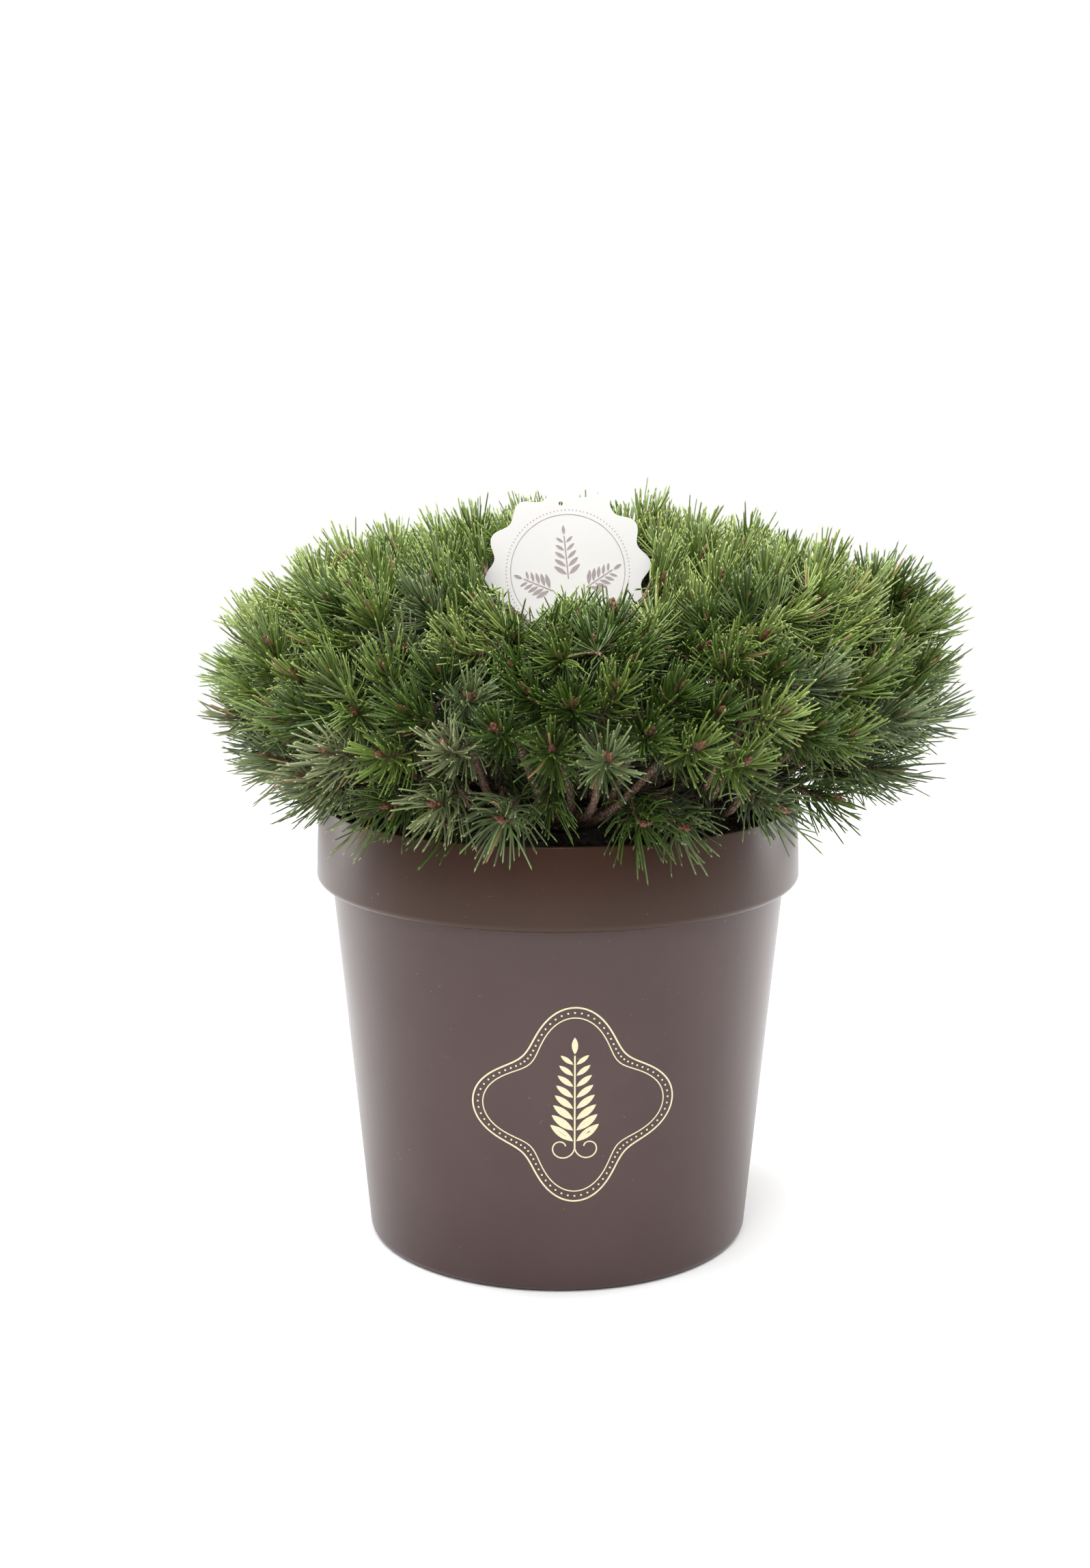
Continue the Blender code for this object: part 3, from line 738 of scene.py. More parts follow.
def arc(middle, radius, start, end):
    """Points of an arc in the (radius, height) plane, angles in degrees."""
    turns = [math.radians(start + (end - start) * step / ARC_STEPS) for step in range(ARC_STEPS + 1)]
    return [on_circle(middle, radius, turn) for turn in turns]


def turned_bmesh(profile, sides):
    """A solid turned from a profile that starts and ends on the axis."""
    bm = bmesh.new()
    verts = [bm.verts.new((radius, 0, height)) for radius, height in profile]
    edges = [bm.edges.new(pair) for pair in zip(verts, verts[1:])]
    bmesh.ops.spin(
        bm, geom=verts + edges, cent=(0, 0, 0), axis=(0, 0, 1),
        angle=2 * math.pi, steps=sides, use_merge=True,
    )
    bmesh.ops.remove_doubles(bm, verts=bm.verts, dist=SAME_PLACE)
    return bm


# Pot


def make_pot(finish):
    """The pot's shell: a tapering body under a wide rim band, both with rounded edges."""
    rim_round = WALL / 2
    profile = [(0, 0)]
    profile += arc((BASE_RADIUS - BASE_ROUND, BASE_ROUND), BASE_ROUND, -90, 0)
    profile += [(BODY_TOP_RADIUS, BAND_FOOT)]
    foot_middle = (BAND_FOOT_RADIUS - BAND_FOOT_ROUND, BAND_FOOT + BAND_FOOT_ROUND)
    profile += arc(foot_middle, BAND_FOOT_ROUND, -90, 0)
    profile += arc((RIM_RADIUS - rim_round, POT_HEIGHT - rim_round), rim_round, 0, 180)
    profile += [
        (BAND_FOOT_RADIUS - WALL, BAND_FOOT + WALL),
        (BODY_TOP_RADIUS - WALL, BAND_FOOT + WALL),
        (BASE_RADIUS - WALL, WALL),
        (0, WALL),
    ]
    shell = turned_bmesh(profile, POT_SIDES)
    pot = object_of("pot_shell", shell, finish, POT_SHARP)
    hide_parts("pot")


def on_pot(across, height, rise):
    """A point on the front of the pot's body, by the arc from its middle line and its height."""
    share = (height - BASE_ROUND) / (BAND_FOOT - BASE_ROUND)
    radius = BASE_RADIUS + (BODY_TOP_RADIUS - BASE_RADIUS) * share
    turn = across / radius
    reach = radius + rise
    return Vector((reach * math.sin(turn), -reach * math.cos(turn), height))


def on_card(across, height, rise):
    """A point on the front of the label's card."""
    return label_matrix() @ Vector((across, -LABEL_THICKNESS / 2 - rise, height))


def leaning(degrees):
    """The card's front, turned about the foot of the sprigs."""
    turn = math.radians(degrees)

    def surface(across, height, rise):
        x = across * math.cos(turn) + height * math.sin(turn)
        z = height * math.cos(turn) - across * math.sin(turn)
        return on_card(x, z + SPRIG_FOOT, rise)

    return surface


def draw_line(pile, line, width, surface, rise, closed=False):
    """A thin raised stroke along a line of (across, height) points on a surface."""
    points = []
    count = len(line)
    for index, (x, z) in enumerate(line):
        before = line[(index - 1) % count] if closed or index else line[index]
        after = line[(index + 1) % count] if closed or index < count - 1 else line[index]
        along = math.atan2(after[1] - before[1], after[0] - before[0])
        side_x, side_z = -math.sin(along) * width / 2, math.cos(along) * width / 2
        for side, lift in ((-1, -rise), (-1, rise), (1, rise), (1, -rise)):
            points.append(surface(x + side * side_x, z + side * side_z, lift))
    if closed:
        points += points[:4]
    pile.add(points, tube_triangles(len(points) // 4, 4))


def draw_blob(pile, outline, surface, rise):
    """A flat raised shape with the given outline on a surface."""
    low = [surface(x, z, -rise) for x, z in outline]
    high = [surface(x, z, rise) for x, z in outline]
    pile.add(low + high, tube_triangles(2, len(outline)))


def leaf_outline(foot, angle, length, width):
    """A pointed leaf in the plane, from its foot along an angle in degrees."""
    turn = math.radians(angle)
    along, across = (math.cos(turn), math.sin(turn)), (-math.sin(turn), math.cos(turn))
    points = []
    for side in (1, -1):
        steps = range(LEAF_STEPS) if side > 0 else range(LEAF_STEPS, 0, -1)
        for step in steps:
            share = step / LEAF_STEPS
            half = side * width / 2 * math.sin(math.pi * share) ** LEAF_POWER
            points.append((
                foot[0] + along[0] * length * share + across[0] * half,
                foot[1] + along[1] * length * share + across[1] * half,
            ))
    return points


def disc_outline(middle, radius, sides):
    """Points of a circle in the plane."""
    return [on_circle(middle, radius, 2 * math.pi * side / sides) for side in range(sides)]


def draw_sprig(pile, foot, height, pairs, leaf, line, surface, rise):
    """An upright sprig: a slim stem with pairs of leaves that get smaller towards its tip."""
    x, z = foot
    stem = [(x, z + height * step / STROKE_STEPS) for step in range(STROKE_STEPS + 1)]
    draw_line(pile, stem, line, surface, rise)
    for pair in range(pairs):
        share = (pair + FIRST_PAIR) / (pairs + LAST_PAIR)
        size = leaf * (LEAF_LARGEST - LEAF_TAPER * share)
        for side in (1, -1):
            leaf_foot = (x + side * line, z + height * share)
            outline = leaf_outline(leaf_foot, 90 - side * LEAF_LEAN, size, size * LEAF_WIDTH)
            draw_blob(pile, outline, surface, rise * (LAYER_FIRST + LAYER_STEP * pair))
    tip = leaf_outline((x, z + height + line), 90, leaf * TIP_LENGTH, leaf * TIP_WIDTH)
    draw_blob(pile, tip, surface, rise * (LAYER_FIRST + LAYER_STEP * pairs))


def quatrefoil(middle, reach, lobe, steps):
    """A closed line with four soft lobes round a middle."""
    line = []
    for step in range(steps):
        turn = 2 * math.pi * step / steps
        line.append(on_circle(middle, reach + lobe * math.cos(ORNAMENT_LOBES * turn), turn))
    return line


def scroll_line(side, foot, radius):
    """A line that leaves a stem's foot downwards, to one side, and curls in on itself."""
    line = []
    for step in range(SCROLL_STEPS + 1):
        share = step / SCROLL_STEPS
        turn = math.pi + SCROLL_TURN * share
        across, height = on_circle((radius, foot[1]), radius * (1 - SCROLL_SHRINK * share), turn)
        line.append((foot[0] + side * across, height))
    return line


def make_ornament(finish):
    """A plain four-lobed frame with beads and a leafy sprig, printed on the pot's front."""
    pile = Pile()
    middle = (ORNAMENT_X, ORNAMENT_Z)
    for inset, line in ((0, ORNAMENT_LINE), (THIN_LINE_INSET, THIN_LINE)):
        outline = quatrefoil(middle, ORNAMENT_REACH - inset, ORNAMENT_LOBE, ORNAMENT_STEPS)
        draw_line(pile, outline, line, on_pot, ORNAMENT_RISE, closed=True)
    for bead in quatrefoil(middle, ORNAMENT_REACH - BEAD_INSET, ORNAMENT_LOBE, BEADS):
        draw_blob(pile, disc_outline(bead, BEAD_RADIUS, DOT_SIDES), on_pot, ORNAMENT_RISE)
    foot = (ORNAMENT_X, ORNAMENT_Z + ORNAMENT_FOOT)
    draw_sprig(
        pile, foot, ORNAMENT_SPRIG, ORNAMENT_PAIRS, ORNAMENT_LEAF, ORNAMENT_LINE, on_pot, ORNAMENT_RISE,
    )
    for side in (-1, 1):
        draw_line(pile, scroll_line(side, foot, SCROLL_RADIUS), SCROLL_LINE, on_pot, ORNAMENT_RISE)
    pile.piece("pot_ornament", [finish], "pot_plastic", smooth=False)


# Soil


def soil_height(x, y):
    """The rough top of the soil: a low mound with lumps."""
    reach = math.hypot(x, y)
    share = min(max((reach - MOUND_FLAT) / (RIM_RADIUS - MOUND_FLAT), 0), 1)
    mound = SOIL_EDGE + SOIL_MOUND * (1 - share) ** MOUND_POWER
    lumps = noise.fractal(Vector((x, y, 0)) * SOIL_LUMPS_PER_METRE, *SOIL_FRACTAL) * SOIL_LUMP
    return mound - SOIL_SUNK + lumps


def make_soil(finish):
    """Soil with a lumpy top, down to the bottom of the pot."""
    ledge = BAND_FOOT + WALL + SKIN_GAP
    edge = RIM_RADIUS - WALL - 2 * SKIN_GAP
    points = [(0, 0, soil_height(0, 0))]
    turns = [2 * math.pi * side / SOIL_SIDES for side in range(SOIL_SIDES)]
    for ring in range(1, SOIL_RINGS + 1):
        radius = edge * ring / SOIL_RINGS
        for turn in turns:
            x, y = on_circle((0, 0), radius, turn)
            points.append((x, y, soil_height(x, y)))
    wall = [
        (BAND_FOOT_RADIUS - WALL - 2 * SKIN_GAP, ledge),
        (BODY_TOP_RADIUS - WALL - 2 * SKIN_GAP, ledge),
        (BASE_RADIUS - WALL - 2 * SKIN_GAP, WALL + SKIN_GAP),
    ]
    for radius, height in wall:
        points += [(*on_circle((0, 0), radius, turn), height) for turn in turns]
    points.append((0, 0, WALL + SKIN_GAP))
    rings = SOIL_RINGS + len(wall)
    sides = tube_triangles(rings, SOIL_SIDES, capped=False)[:, ::-1] + 1
    side = np.arange(SOIL_SIDES)
    after = (side + 1) % SOIL_SIDES
    top = np.stack([np.zeros_like(side), side + 1, after + 1], axis=1)
    last = (rings - 1) * SOIL_SIDES + 1
    bottom = np.stack([np.full_like(side, len(points) - 1), last + after, last + side], axis=1)
    pile = Pile()
    pile.add(points, np.concatenate([top, sides, bottom]))
    soil = pile.piece("soil_fill", [finish], "soil")
    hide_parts("soil")


def make_crumbs(finish, rng):
    """Loose bits of bark and wood, strewn over the soil."""
    bm = bmesh.new()
    bmesh.ops.create_icosphere(bm, subdivisions=1, radius=1)
    shape = np.array([vert.co for vert in bm.verts])
    faces = np.array([[vert.index for vert in face.verts] for face in bm.faces])
    bm.free()
    pile = Pile()
    smallest, largest = CRUMB_SIZE
    for _ in range(CRUMBS):
        reach = (RIM_RADIUS - CRUMB_MARGIN) * math.sqrt(rng.uniform(*CRUMB_SPREAD))
        x, y = on_circle((0, 0), reach, rng.uniform(0, 2 * math.pi))
        length = smallest + (largest - smallest) * rng.random() ** CRUMB_SIZE_POWER
        width, height = length * rng.uniform(*CRUMB_WIDTH), length * rng.uniform(*CRUMB_HEIGHT)
        scale = np.array([length, width, height]) / CRUMB_SHRINK
        rough = shape * scale * np.array([[rng.uniform(*CRUMB_ROUGHNESS)] for _ in shape])
        spin = Matrix.Rotation(rng.uniform(0, 2 * math.pi), 3, "Z")
        tilt = Matrix.Rotation(rng.uniform(-CRUMB_TILT, CRUMB_TILT), 3, "X")
        place = np.array([x, y, soil_height(x, y) + scale[2] / 2])
        pile.add(rough @ np.array(spin @ tilt).T + place, faces)
    pile.piece("soil_crumbs", [finish], "soil", smooth=False)


# Limbs


def side_of(direction):
    """Two unit vectors at right angles to a direction and to each other."""
    helper = UP if abs(direction.z) < NEAR_UPRIGHT else Vector((1, 0, 0))
    across = direction.cross(helper).normalized()
    return across, across.cross(direction).normalized()


def resampled(path, radii, step):
    """A path with a ring every so often, and the radius there."""
    points, sizes = [], []
    for low, high, first, last in zip(path, path[1:], radii, radii[1:]):
        count = max(1, round((high - low).length / step))
        for index in range(count):
            points.append(low.lerp(high, index / count))
            sizes.append(first + (last - first) * index / count)
    return points + [path[-1]], sizes + [radii[-1]]


def plates(point, size):
    """Height of the bark's scales at a point: 1 on a plate, 0 in a furrow."""
    near, far = noise.voronoi(point / size)[0][:2]
    return min(1.0, (far - near) * PLATE_EDGE)


def limb(pile, path, radii, sides, plate, rise, flare=None):
    """Adds a tapering limb with scaly bark, one ring at right angles to each point of its path."""
    across, _ = side_of((path[1] - path[0]).normalized())
    points = []
    for index, point in enumerate(path):
        before, after = path[max(index - 1, 0)], path[min(index + 1, len(path) - 1)]
        along = (after - before).normalized()
        across = (across - along * across.dot(along)).normalized()
        other = along.cross(across)
        for side in range(sides):
            angle = 2 * math.pi * side / sides
            radius = radii[index] * (flare(point, angle) if flare else 1.0)
            around = at_angle(across, other, angle)
            place = point + around * radius
            points.append(place + around * rise * (plates(place, plate) - PLATE_LEVEL))
    pile.add(points, tube_triangles(len(path), sides))


def trunk_axis(share):
    """A point on the trunk's axis, 0 at the soil and 1 at the fork."""
    return TRUNK_BASE.lerp(TRUNK_TOP, share)


def trunk_flare(point, angle):
    """How much wider the trunk is at a point for its root flare."""
    height = max(point.z - TRUNK_BASE.z, 0)
    ridge = FLARE_EVEN + FLARE_RIDGED * math.cos(FLARE_ROOTS * angle)
    return 1 + FLARE / TRUNK_RADIUS * ridge * math.exp(-height / FLARE_HEIGHT)


def make_trunk(finish):
    """The short leaning trunk with deep scaly bark and its root flare."""
    count = round((TRUNK_TOP - TRUNK_BASE).length / TRUNK_STEP)
    path = [trunk_axis(step / count) for step in range(count + 1)]
    radii = tapered(TRUNK_RADIUS, TRUNK_TAPER, len(path))
    pile = Pile()
    plate, rise = PLATE_SIZE * TRUNK_PLATE, PLATE_RISE * TRUNK_PLATE
    limb(pile, path, radii, TRUNK_SIDES, plate, rise, trunk_flare)
    trunk = pile.piece("bark_trunk", [finish], "bark")
    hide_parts("trunk")


# Crown rule, as in the part's source


def direction_at(azimuth, tilt):
    """A unit vector, from an azimuth round +Z and a tilt away from straight up, in degrees."""
    turn, lean = math.radians(azimuth), math.radians(tilt)
    return Vector((*on_circle((0, 0), math.sin(lean), turn), math.cos(lean)))


def swell(direction, towards, width):
    """1 in the middle of a lobe, and less away from it."""
    return math.exp(-((direction.angle(towards) / width) ** 2) / 2)


def crown_radius(direction):
    """How far the dome of shoot tips lies from the crown's middle, in one direction."""
    flat = math.hypot(direction.x, direction.y) / CROWN_REACH
    rise = abs(direction.z) / (CROWN_UP if direction.z > 0 else CROWN_DOWN)
    radius = (flat**CROWN_POWER + rise**CROWN_POWER) ** (-1 / CROWN_POWER)
    lobes = [height * swell(direction, towards, width) for towards, height, width in LOBES.values()]
    return radius + sum(lobes)


def label_matrix():
    """From the card's own space, with its middle at 0 and its front towards -Y, to the object's."""
    return Matrix.Translation(LABEL_MIDDLE) @ Matrix.Rotation(math.radians(LABEL_ROLL), 4, "Y")


def plan_masses():
    """Name, ring and middle of each mass, ring by ring."""
    plans = []
    for ring, layout in MASS_RINGS.items():
        for index in range(layout["count"]):
            azimuth = layout["first"] + 360 * index / layout["count"]
            direction = direction_at(azimuth, layout["tilt"])
            plans.append({
                "name": f"{ring}_{index + 1}",
                "ring": ring,
                "index": index,
                "azimuth": azimuth,
                "direction": direction,
                "middle": CROWN_MIDDLE + direction * crown_radius(direction),
            })
    for plan in plans:
        plan["limits"] = limits_of(plan, plans)
    return plans


def upright_scaled(vector):
    """A vector in the space in which the flattened dome is round."""
    return Vector((vector.x, vector.y, vector.z * CROWN_REACH / CROWN_UP))


def limits_of(plan, plans):
    """The flat limits of the space of one mass, each as a point and an outward direction."""
    own = upright_scaled(plan["direction"]).normalized()
    limits = []
    for other in plans:
        if other is not plan:
            away = upright_scaled(upright_scaled(other["direction"]).normalized() - own).normalized()
            limits.append((CROWN_MIDDLE - away * MASS_CLEARANCE / 2, away))
    limits.append(label_limit(plan["middle"]))
    return limits


def label_limit(middle):
    """The plane that keeps a mass on its own side of the label."""
    local = label_matrix().inverted() @ middle
    width = LABEL_RADIUS + LABEL_SCALLOP + LABEL_ROOM
    depth = LABEL_THICKNESS / 2 + LABEL_ROOM
    if abs(local.x) - width > abs(local.y) - depth:
        turned = label_matrix().to_3x3()
        beside = Vector((math.copysign(1, local.x), 0, 0))
        return LABEL_MIDDLE + turned @ beside * width, -(turned @ beside)
    behind = Vector((0, math.copysign(1, local.y), 0))
    return LABEL_MIDDLE + behind * depth, -behind


def inside(point, limits):
    """Distance from a point to the nearest limit, below zero outside."""
    return min((place - point).dot(away) for place, away in limits)


def bezier(start, pull_start, pull_end, end, count):
    """Points of a curve that leaves and arrives towards its two pulls."""
    points = []
    for step in range(count):
        t = step / (count - 1)
        points.append(
            start * (1 - t) ** 3 + pull_start * 3 * t * (1 - t) ** 2
            + pull_end * 3 * t**2 * (1 - t) + end * t**3
        )
    return points


def seat(start, outward, radius, trunk_tree):
    """Moves a bough's foot in along its own axis until it is just clear of the trunk."""
    across, other = side_of(outward)
    reaches = []
    for share in SEAT_SHARES:
        for turn in range(SEAT_RAYS):
            around = at_angle(across, other, 2 * math.pi * turn / SEAT_RAYS)
            place, _, _, reach = trunk_tree.ray_cast(start + around * radius * share, -outward)
            if place:
                reaches.append(reach)
    return start - outward * (min(reaches) - GAP)


def plan_bough(plan, trunk_tree):
    """The bough's path and radii, from the trunk to where it enters its mass."""
    layout = MASS_RINGS[plan["ring"]]
    radius = BOUGH_RADIUS[plan["ring"]]
    share = layout["leaves_at"]
    outward = direction_at(plan["azimuth"], 90)
    reach = crown_radius(plan["direction"]) * INNER_SHARE
    end = CROWN_MIDDLE + plan["direction"] * reach - Vector((0, 0, layout["drop"]))
    if plan["ring"] == "top":
        foot = (TRUNK_TOP - TRUNK_BASE).normalized()
        across = (outward - foot * outward.dot(foot)).normalized()
        start = TRUNK_TOP + across * FORK_SPREAD + foot * GAP
        leave = (outward + Vector((0, 0, FORK_UPTURN))).normalized()
    else:
        share += BOUGH_STAGGER * (plan["index"] % 2)
        foot = leave = outward
        start = seat(trunk_axis(share) + outward * SEAT_FROM, outward, radius, trunk_tree)
    length = (end - start).length
    arrive = (plan["direction"] + Vector((0, 0, BOUGH_UPTURN))).normalized()
    pull_start = start + leave * length * BOUGH_PULL[0]
    pull_end = end - arrive * length * BOUGH_PULL[1]
    rest = bezier(start + foot * BOUGH_FOOT, pull_start, pull_end, end, BOUGH_POINTS)
    path = [start - foot * BOUGH_SUNK] + rest
    plan["path"], plan["radii"] = path, tapered(radius, BOUGH_TIP_SHARE, len(path))


def dome_candidates(depth):
    """Many points of the dome in a golden-angle spiral, from the top down, some way inside it."""
    points = []
    for index in range(SITE_CANDIDATES):
        height = 1 - DOME_SHARE * (index + 0.5) / SITE_CANDIDATES
        azimuth = math.degrees(index * GOLDEN_TURN)
        direction = direction_at(azimuth, math.degrees(math.acos(height)))
        points.append(CROWN_MIDDLE + direction * (crown_radius(direction) - depth))
    return points


def spread_sites(plan, candidates, spacing):
    """Evenly spaced places for shoot tips within a mass's own space, wider apart low over the rim."""
    sites = []
    for point in candidates:
        if inside(point, plan["limits"]) < SITE_MARGIN or point.z < LOWEST_SHOOT:
            continue
        place = np.array([point])
        if in_label_room(place, LABEL_ROOM)[0] or hides_label(place, -VIEW_SPARE)[0]:
            continue
        apart = max(spacing, open_spacing(point))
        if all((point - other).length > apart for other in sites):
            sites.append(point)
    return sites


def open_spacing(point):
    """How far apart the sites lie low over the rim, where stems show: most at the front."""
    if point.z > POT_HEIGHT + OPEN_HEIGHT:
        return 0.0
    return OPEN_SPACING[0] if point.y < OPEN_FRONT and point.x > OPEN_LEFT else OPEN_SPACING[1]


def over_rim(point):
    """How much a point belongs to the lowest tufts at the front: 1 for the lowest, 0 elsewhere."""
    low = 1 - (point.z - LOWEST_SHOOT) / RIM_TUFT_HEIGHT
    edge, width = RIM_TUFT_FRONT
    return min(max(low, 0.0), 1.0) / (1 + math.exp((point.y - edge) / width))


def branch(start, sites, radius):
    """Twigs and last shoots from one stem: the sites are halved again and again at forks."""
    if len(sites) == 1:
        return [], [(start, sites[0], radius)]
    middle = sum(sites, Vector()) / len(sites)
    fork = start.lerp(middle, TWIG_SHARE)
    spread = max((site - middle for site in sites), key=lambda offset: offset.length)
    ordered = sorted(sites, key=lambda site: (site - middle).dot(spread))
    half = len(ordered) // 2
    twigs, shoots = [(start, fork, radius)], []
    for group in (ordered[:half], ordered[half:]):
        more_twigs, more_shoots = branch(fork, group, radius * TWIG_TAPER)
        twigs += more_twigs
        shoots += more_shoots
    return twigs, shoots


# Room round the other parts, for many points at once


def in_label_space(points):
    """Points in the card's own space."""
    back = np.array(label_matrix().inverted())
    return points @ back[:3, :3].T + back[:3, 3]


def on_label(local, room):
    """True for points of the card's own space that lie over its disc or its stake."""
    on_disc = np.hypot(local[:, 0], local[:, 2]) < LABEL_RADIUS + LABEL_SCALLOP + room
    on_stake = (np.abs(local[:, 0]) < STAKE_WIDTH / 2 + room) & (local[:, 2] < 0)
    return on_disc | on_stake


def in_label_room(points, room):
    """True for points close to the label or its stake."""
    local = in_label_space(points)
    return (np.abs(local[:, 1]) < LABEL_THICKNESS / 2 + room) & on_label(local, room)


def through_label(low, high):
    """True for straight stretches that pass through the label or its stake."""
    first, last = in_label_space(low), in_label_space(high)
    crosses = first[:, 1] * last[:, 1] < 0
    share = first[:, 1] / np.where(crosses, first[:, 1] - last[:, 1], 1.0)
    return crosses & on_label(first + (last - first) * share[:, None], NEEDLE_MARGIN)


def hides_label(points, spare):
    """True for points that stand before the open part of the label's face, by more than some height."""
    before = LABEL_MIDDLE.y - points[:, 1]
    beside = np.abs(points[:, 0] - LABEL_MIDDLE.x)
    place, width, depth = VIEW_DIP
    dip = depth * np.exp(-(((points[:, 0] - LABEL_MIDDLE.x - place) / width) ** 2))
    above = points[:, 2] > VIEW_HEIGHT + VIEW_SLOPE * before + spare - dip
    return above & (beside < VIEW_WIDTH) & (before > 0) & (before < VIEW_DEPTH)


def in_pot_room(points):
    """True for points in the pot, in the soil or close to the rim."""
    reach = np.hypot(points[:, 0], points[:, 1])
    at_rim = (reach < BAND_FOOT_RADIUS + NEEDLE_MARGIN) & (points[:, 2] < POT_HEIGHT + NEEDLE_MARGIN)
    in_wall = at_rim & (reach > RIM_RADIUS - WALL - NEEDLE_MARGIN)
    return in_wall | (at_rim & (points[:, 2] < GROUND + NEEDLE_MARGIN))


def bough_stretches(plans):
    """Starts, steps and radii of the straight stretches of all boughs."""
    starts, steps, radii = [], [], []
    for plan in plans:
        path, sizes = plan["path"][::BOUGH_STRIDE], plan["radii"][::BOUGH_STRIDE]
        for low, high, radius in zip(path, path[1:], sizes):
            starts.append(low)
            steps.append(high - low)
            radii.append(radius + NEEDLE_MARGIN)
    return np.array(starts), np.array(steps), np.array(radii)


def touches_bough(points, stretches):
    """True for points close to any bough."""
    starts, steps, radii = stretches
    away = points[:, None, :] - starts[None]
    share = np.einsum("psk,sk->ps", away, steps) / np.einsum("sk,sk->s", steps, steps)
    nearest = away - np.clip(share, 0, 1)[:, :, None] * steps[None]
    return (np.linalg.norm(nearest, axis=2) < radii[None]).any(axis=1)


# Needles, buds and twigs


def unit(vectors):
    """Vectors at a length of 1."""
    return vectors / np.linalg.norm(vectors, axis=-1, keepdims=True)


def between(first, last, angles):
    """Directions turned by some angles from the first ones towards the last ones."""
    return first * np.cos(angles)[:, None] + last * np.sin(angles)[:, None]


def shoot_points(shoot, shares):
    """Points and directions along a shoot's curve, 0 at its foot and 1 at its tip."""
    low, pull, tip = (np.array(point) for point in (shoot["low"], shoot["pull"], shoot["tip"]))
    t = shares[:, None]
    points = low * (1 - t) ** 2 + pull * 2 * t * (1 - t) + tip * t**2
    along = (pull - low) * (1 - t) + (tip - pull) * t
    return points, unit(along)


def lay_needles(shoot, dice):
    """How far back from the tip each needle sits, its turn round the shoot and its lean away from it."""
    covered = min(1.0, shoot["length"] / LEAFY_LENGTH)
    pairs = round(NEEDLE_PAIRS * shoot["fullness"] * (LEAST_PAIRS + (1 - LEAST_PAIRS) * covered))
    order = (np.arange(pairs) + dice.random(pairs)) / pairs
    back = np.repeat(order**BACK_POWER, 2)
    turn = np.repeat(np.arange(pairs) * GOLDEN_TURN + dice.normal(0, TURN_SPREAD, pairs), 2)
    apart = np.tile((-1, 1), pairs) * np.radians(PAIR_SPREAD)
    turn += apart * dice.uniform(*PAIR_VARIATION, 2 * pairs)
    lean = np.radians(LEAN_AT_TIP + (LEAN_AT_FOOT - LEAN_AT_TIP) * back**LEAN_POWER)
    lean += np.radians(dice.normal(0, LEAN_SPREAD, 2 * pairs))
    return back, turn, lean


def grow_needles(shoot, stretches, dice):
    """Foot, bend and tip of each needle that fits, and its sideways direction; none if few do."""
    back, turn, lean = lay_needles(shoot, dice)
    count, rim = len(back), shoot["rim"]
    foot, along = shoot_points(shoot, 1 - back * min(1.0, LEAFY_LENGTH / shoot["length"]))
    across = unit(np.cross(along, np.array(side_of(shoot["axis"])[0])))
    around = between(across, np.cross(along, across), turn)
    length = NEEDLE_LENGTH * (1 + NEEDLE_VARIATION * dice.uniform(-1, 1, count)) * shoot["vigour"]
    length *= 1 - FOOT_SHORTER * back
    half_bend = np.radians(NEEDLE_BEND / 2) * dice.uniform(*BEND_VARIATION, count)
    half_bend *= 1 + (RIM_TUFT_BEND - 1) * rim
    lift = np.array((0, 0, NEEDLE_LIFT - RIM_TUFT_DROOP * rim))
    lift = lift * dice.uniform(*LIFT_VARIATION, (count, 1))
    out = between(along, around, lean + half_bend)
    onward = unit(between(along, around, lean - half_bend) + lift)
    start = foot + around * SHOOT_RADIUS * FOOT_OUT
    bend = start + out * (length / 2)[:, None]
    tip = bend + onward * (length / 2)[:, None]
    sideways = unit(np.cross(out, around) + NEVER_ZERO)
    kept = fitting(start, bend, tip, stretches, dice)
    shoot["kept"] = kept.mean()
    kept &= shoot["kept"] > LEAST_NEEDLES
    return start[kept], bend[kept], tip[kept], sideways[kept]


def fitting(start, bend, tip, stretches, dice):
    """True for needles that stay clear of the pot, the label and the boughs."""
    fringe = VIEW_FRINGE * dice.random(len(start)) ** 2
    kept = ~(through_label(start, bend) | through_label(bend, tip))
    for first, last, shares in ((start, bend, TESTS_BELOW_BEND), (bend, tip, TESTS_ABOVE_BEND)):
        for share in shares:
            points = first + (last - first) * share
            kept &= ~(in_label_room(points, NEEDLE_MARGIN) | in_pot_room(points))
            kept &= ~hides_label(points, fringe)
            kept &= ~touches_bough(points, stretches)
    return kept


def needle_arrays(start, bend, tip, sideways, rings):
    """Points and triangles of three-sided needles with a bend and a blunt tip."""
    rows = []
    for share, size in rings:
        middle = start * (1 - share) ** 2 + bend * 2 * share * (1 - share) + tip * share**2
        along = unit((bend - start) * (1 - share) + (tip - bend) * share)
        across = unit(sideways - along * np.sum(sideways * along, axis=1, keepdims=True))
        deep = np.cross(along, across)
        for x, y in NEEDLE_OUTLINE:
            rows.append(middle + across * x * NEEDLE_WIDTH * size + deep * y * NEEDLE_THICKNESS * size)
    rows.append(tip)
    points = np.stack(rows, axis=1)
    body = tube_triangles(len(rings), 3, capped=False)
    point = 3 * len(rings)
    ends = [(point - 3, point - 2, point), (point - 2, point - 1, point), (point - 1, point - 3, point)]
    pattern = np.concatenate([body, np.array(ends)])
    triangles = pattern[None] + np.arange(len(start))[:, None, None] * (point + 1)
    at_tip = np.arange(len(pattern)) >= len(body)
    return points, triangles, at_tip


def soft_step(value, width):
    """1 well below zero, 0 well above it, with a soft change between them."""
    return 1 / (1 + math.exp(value / width))


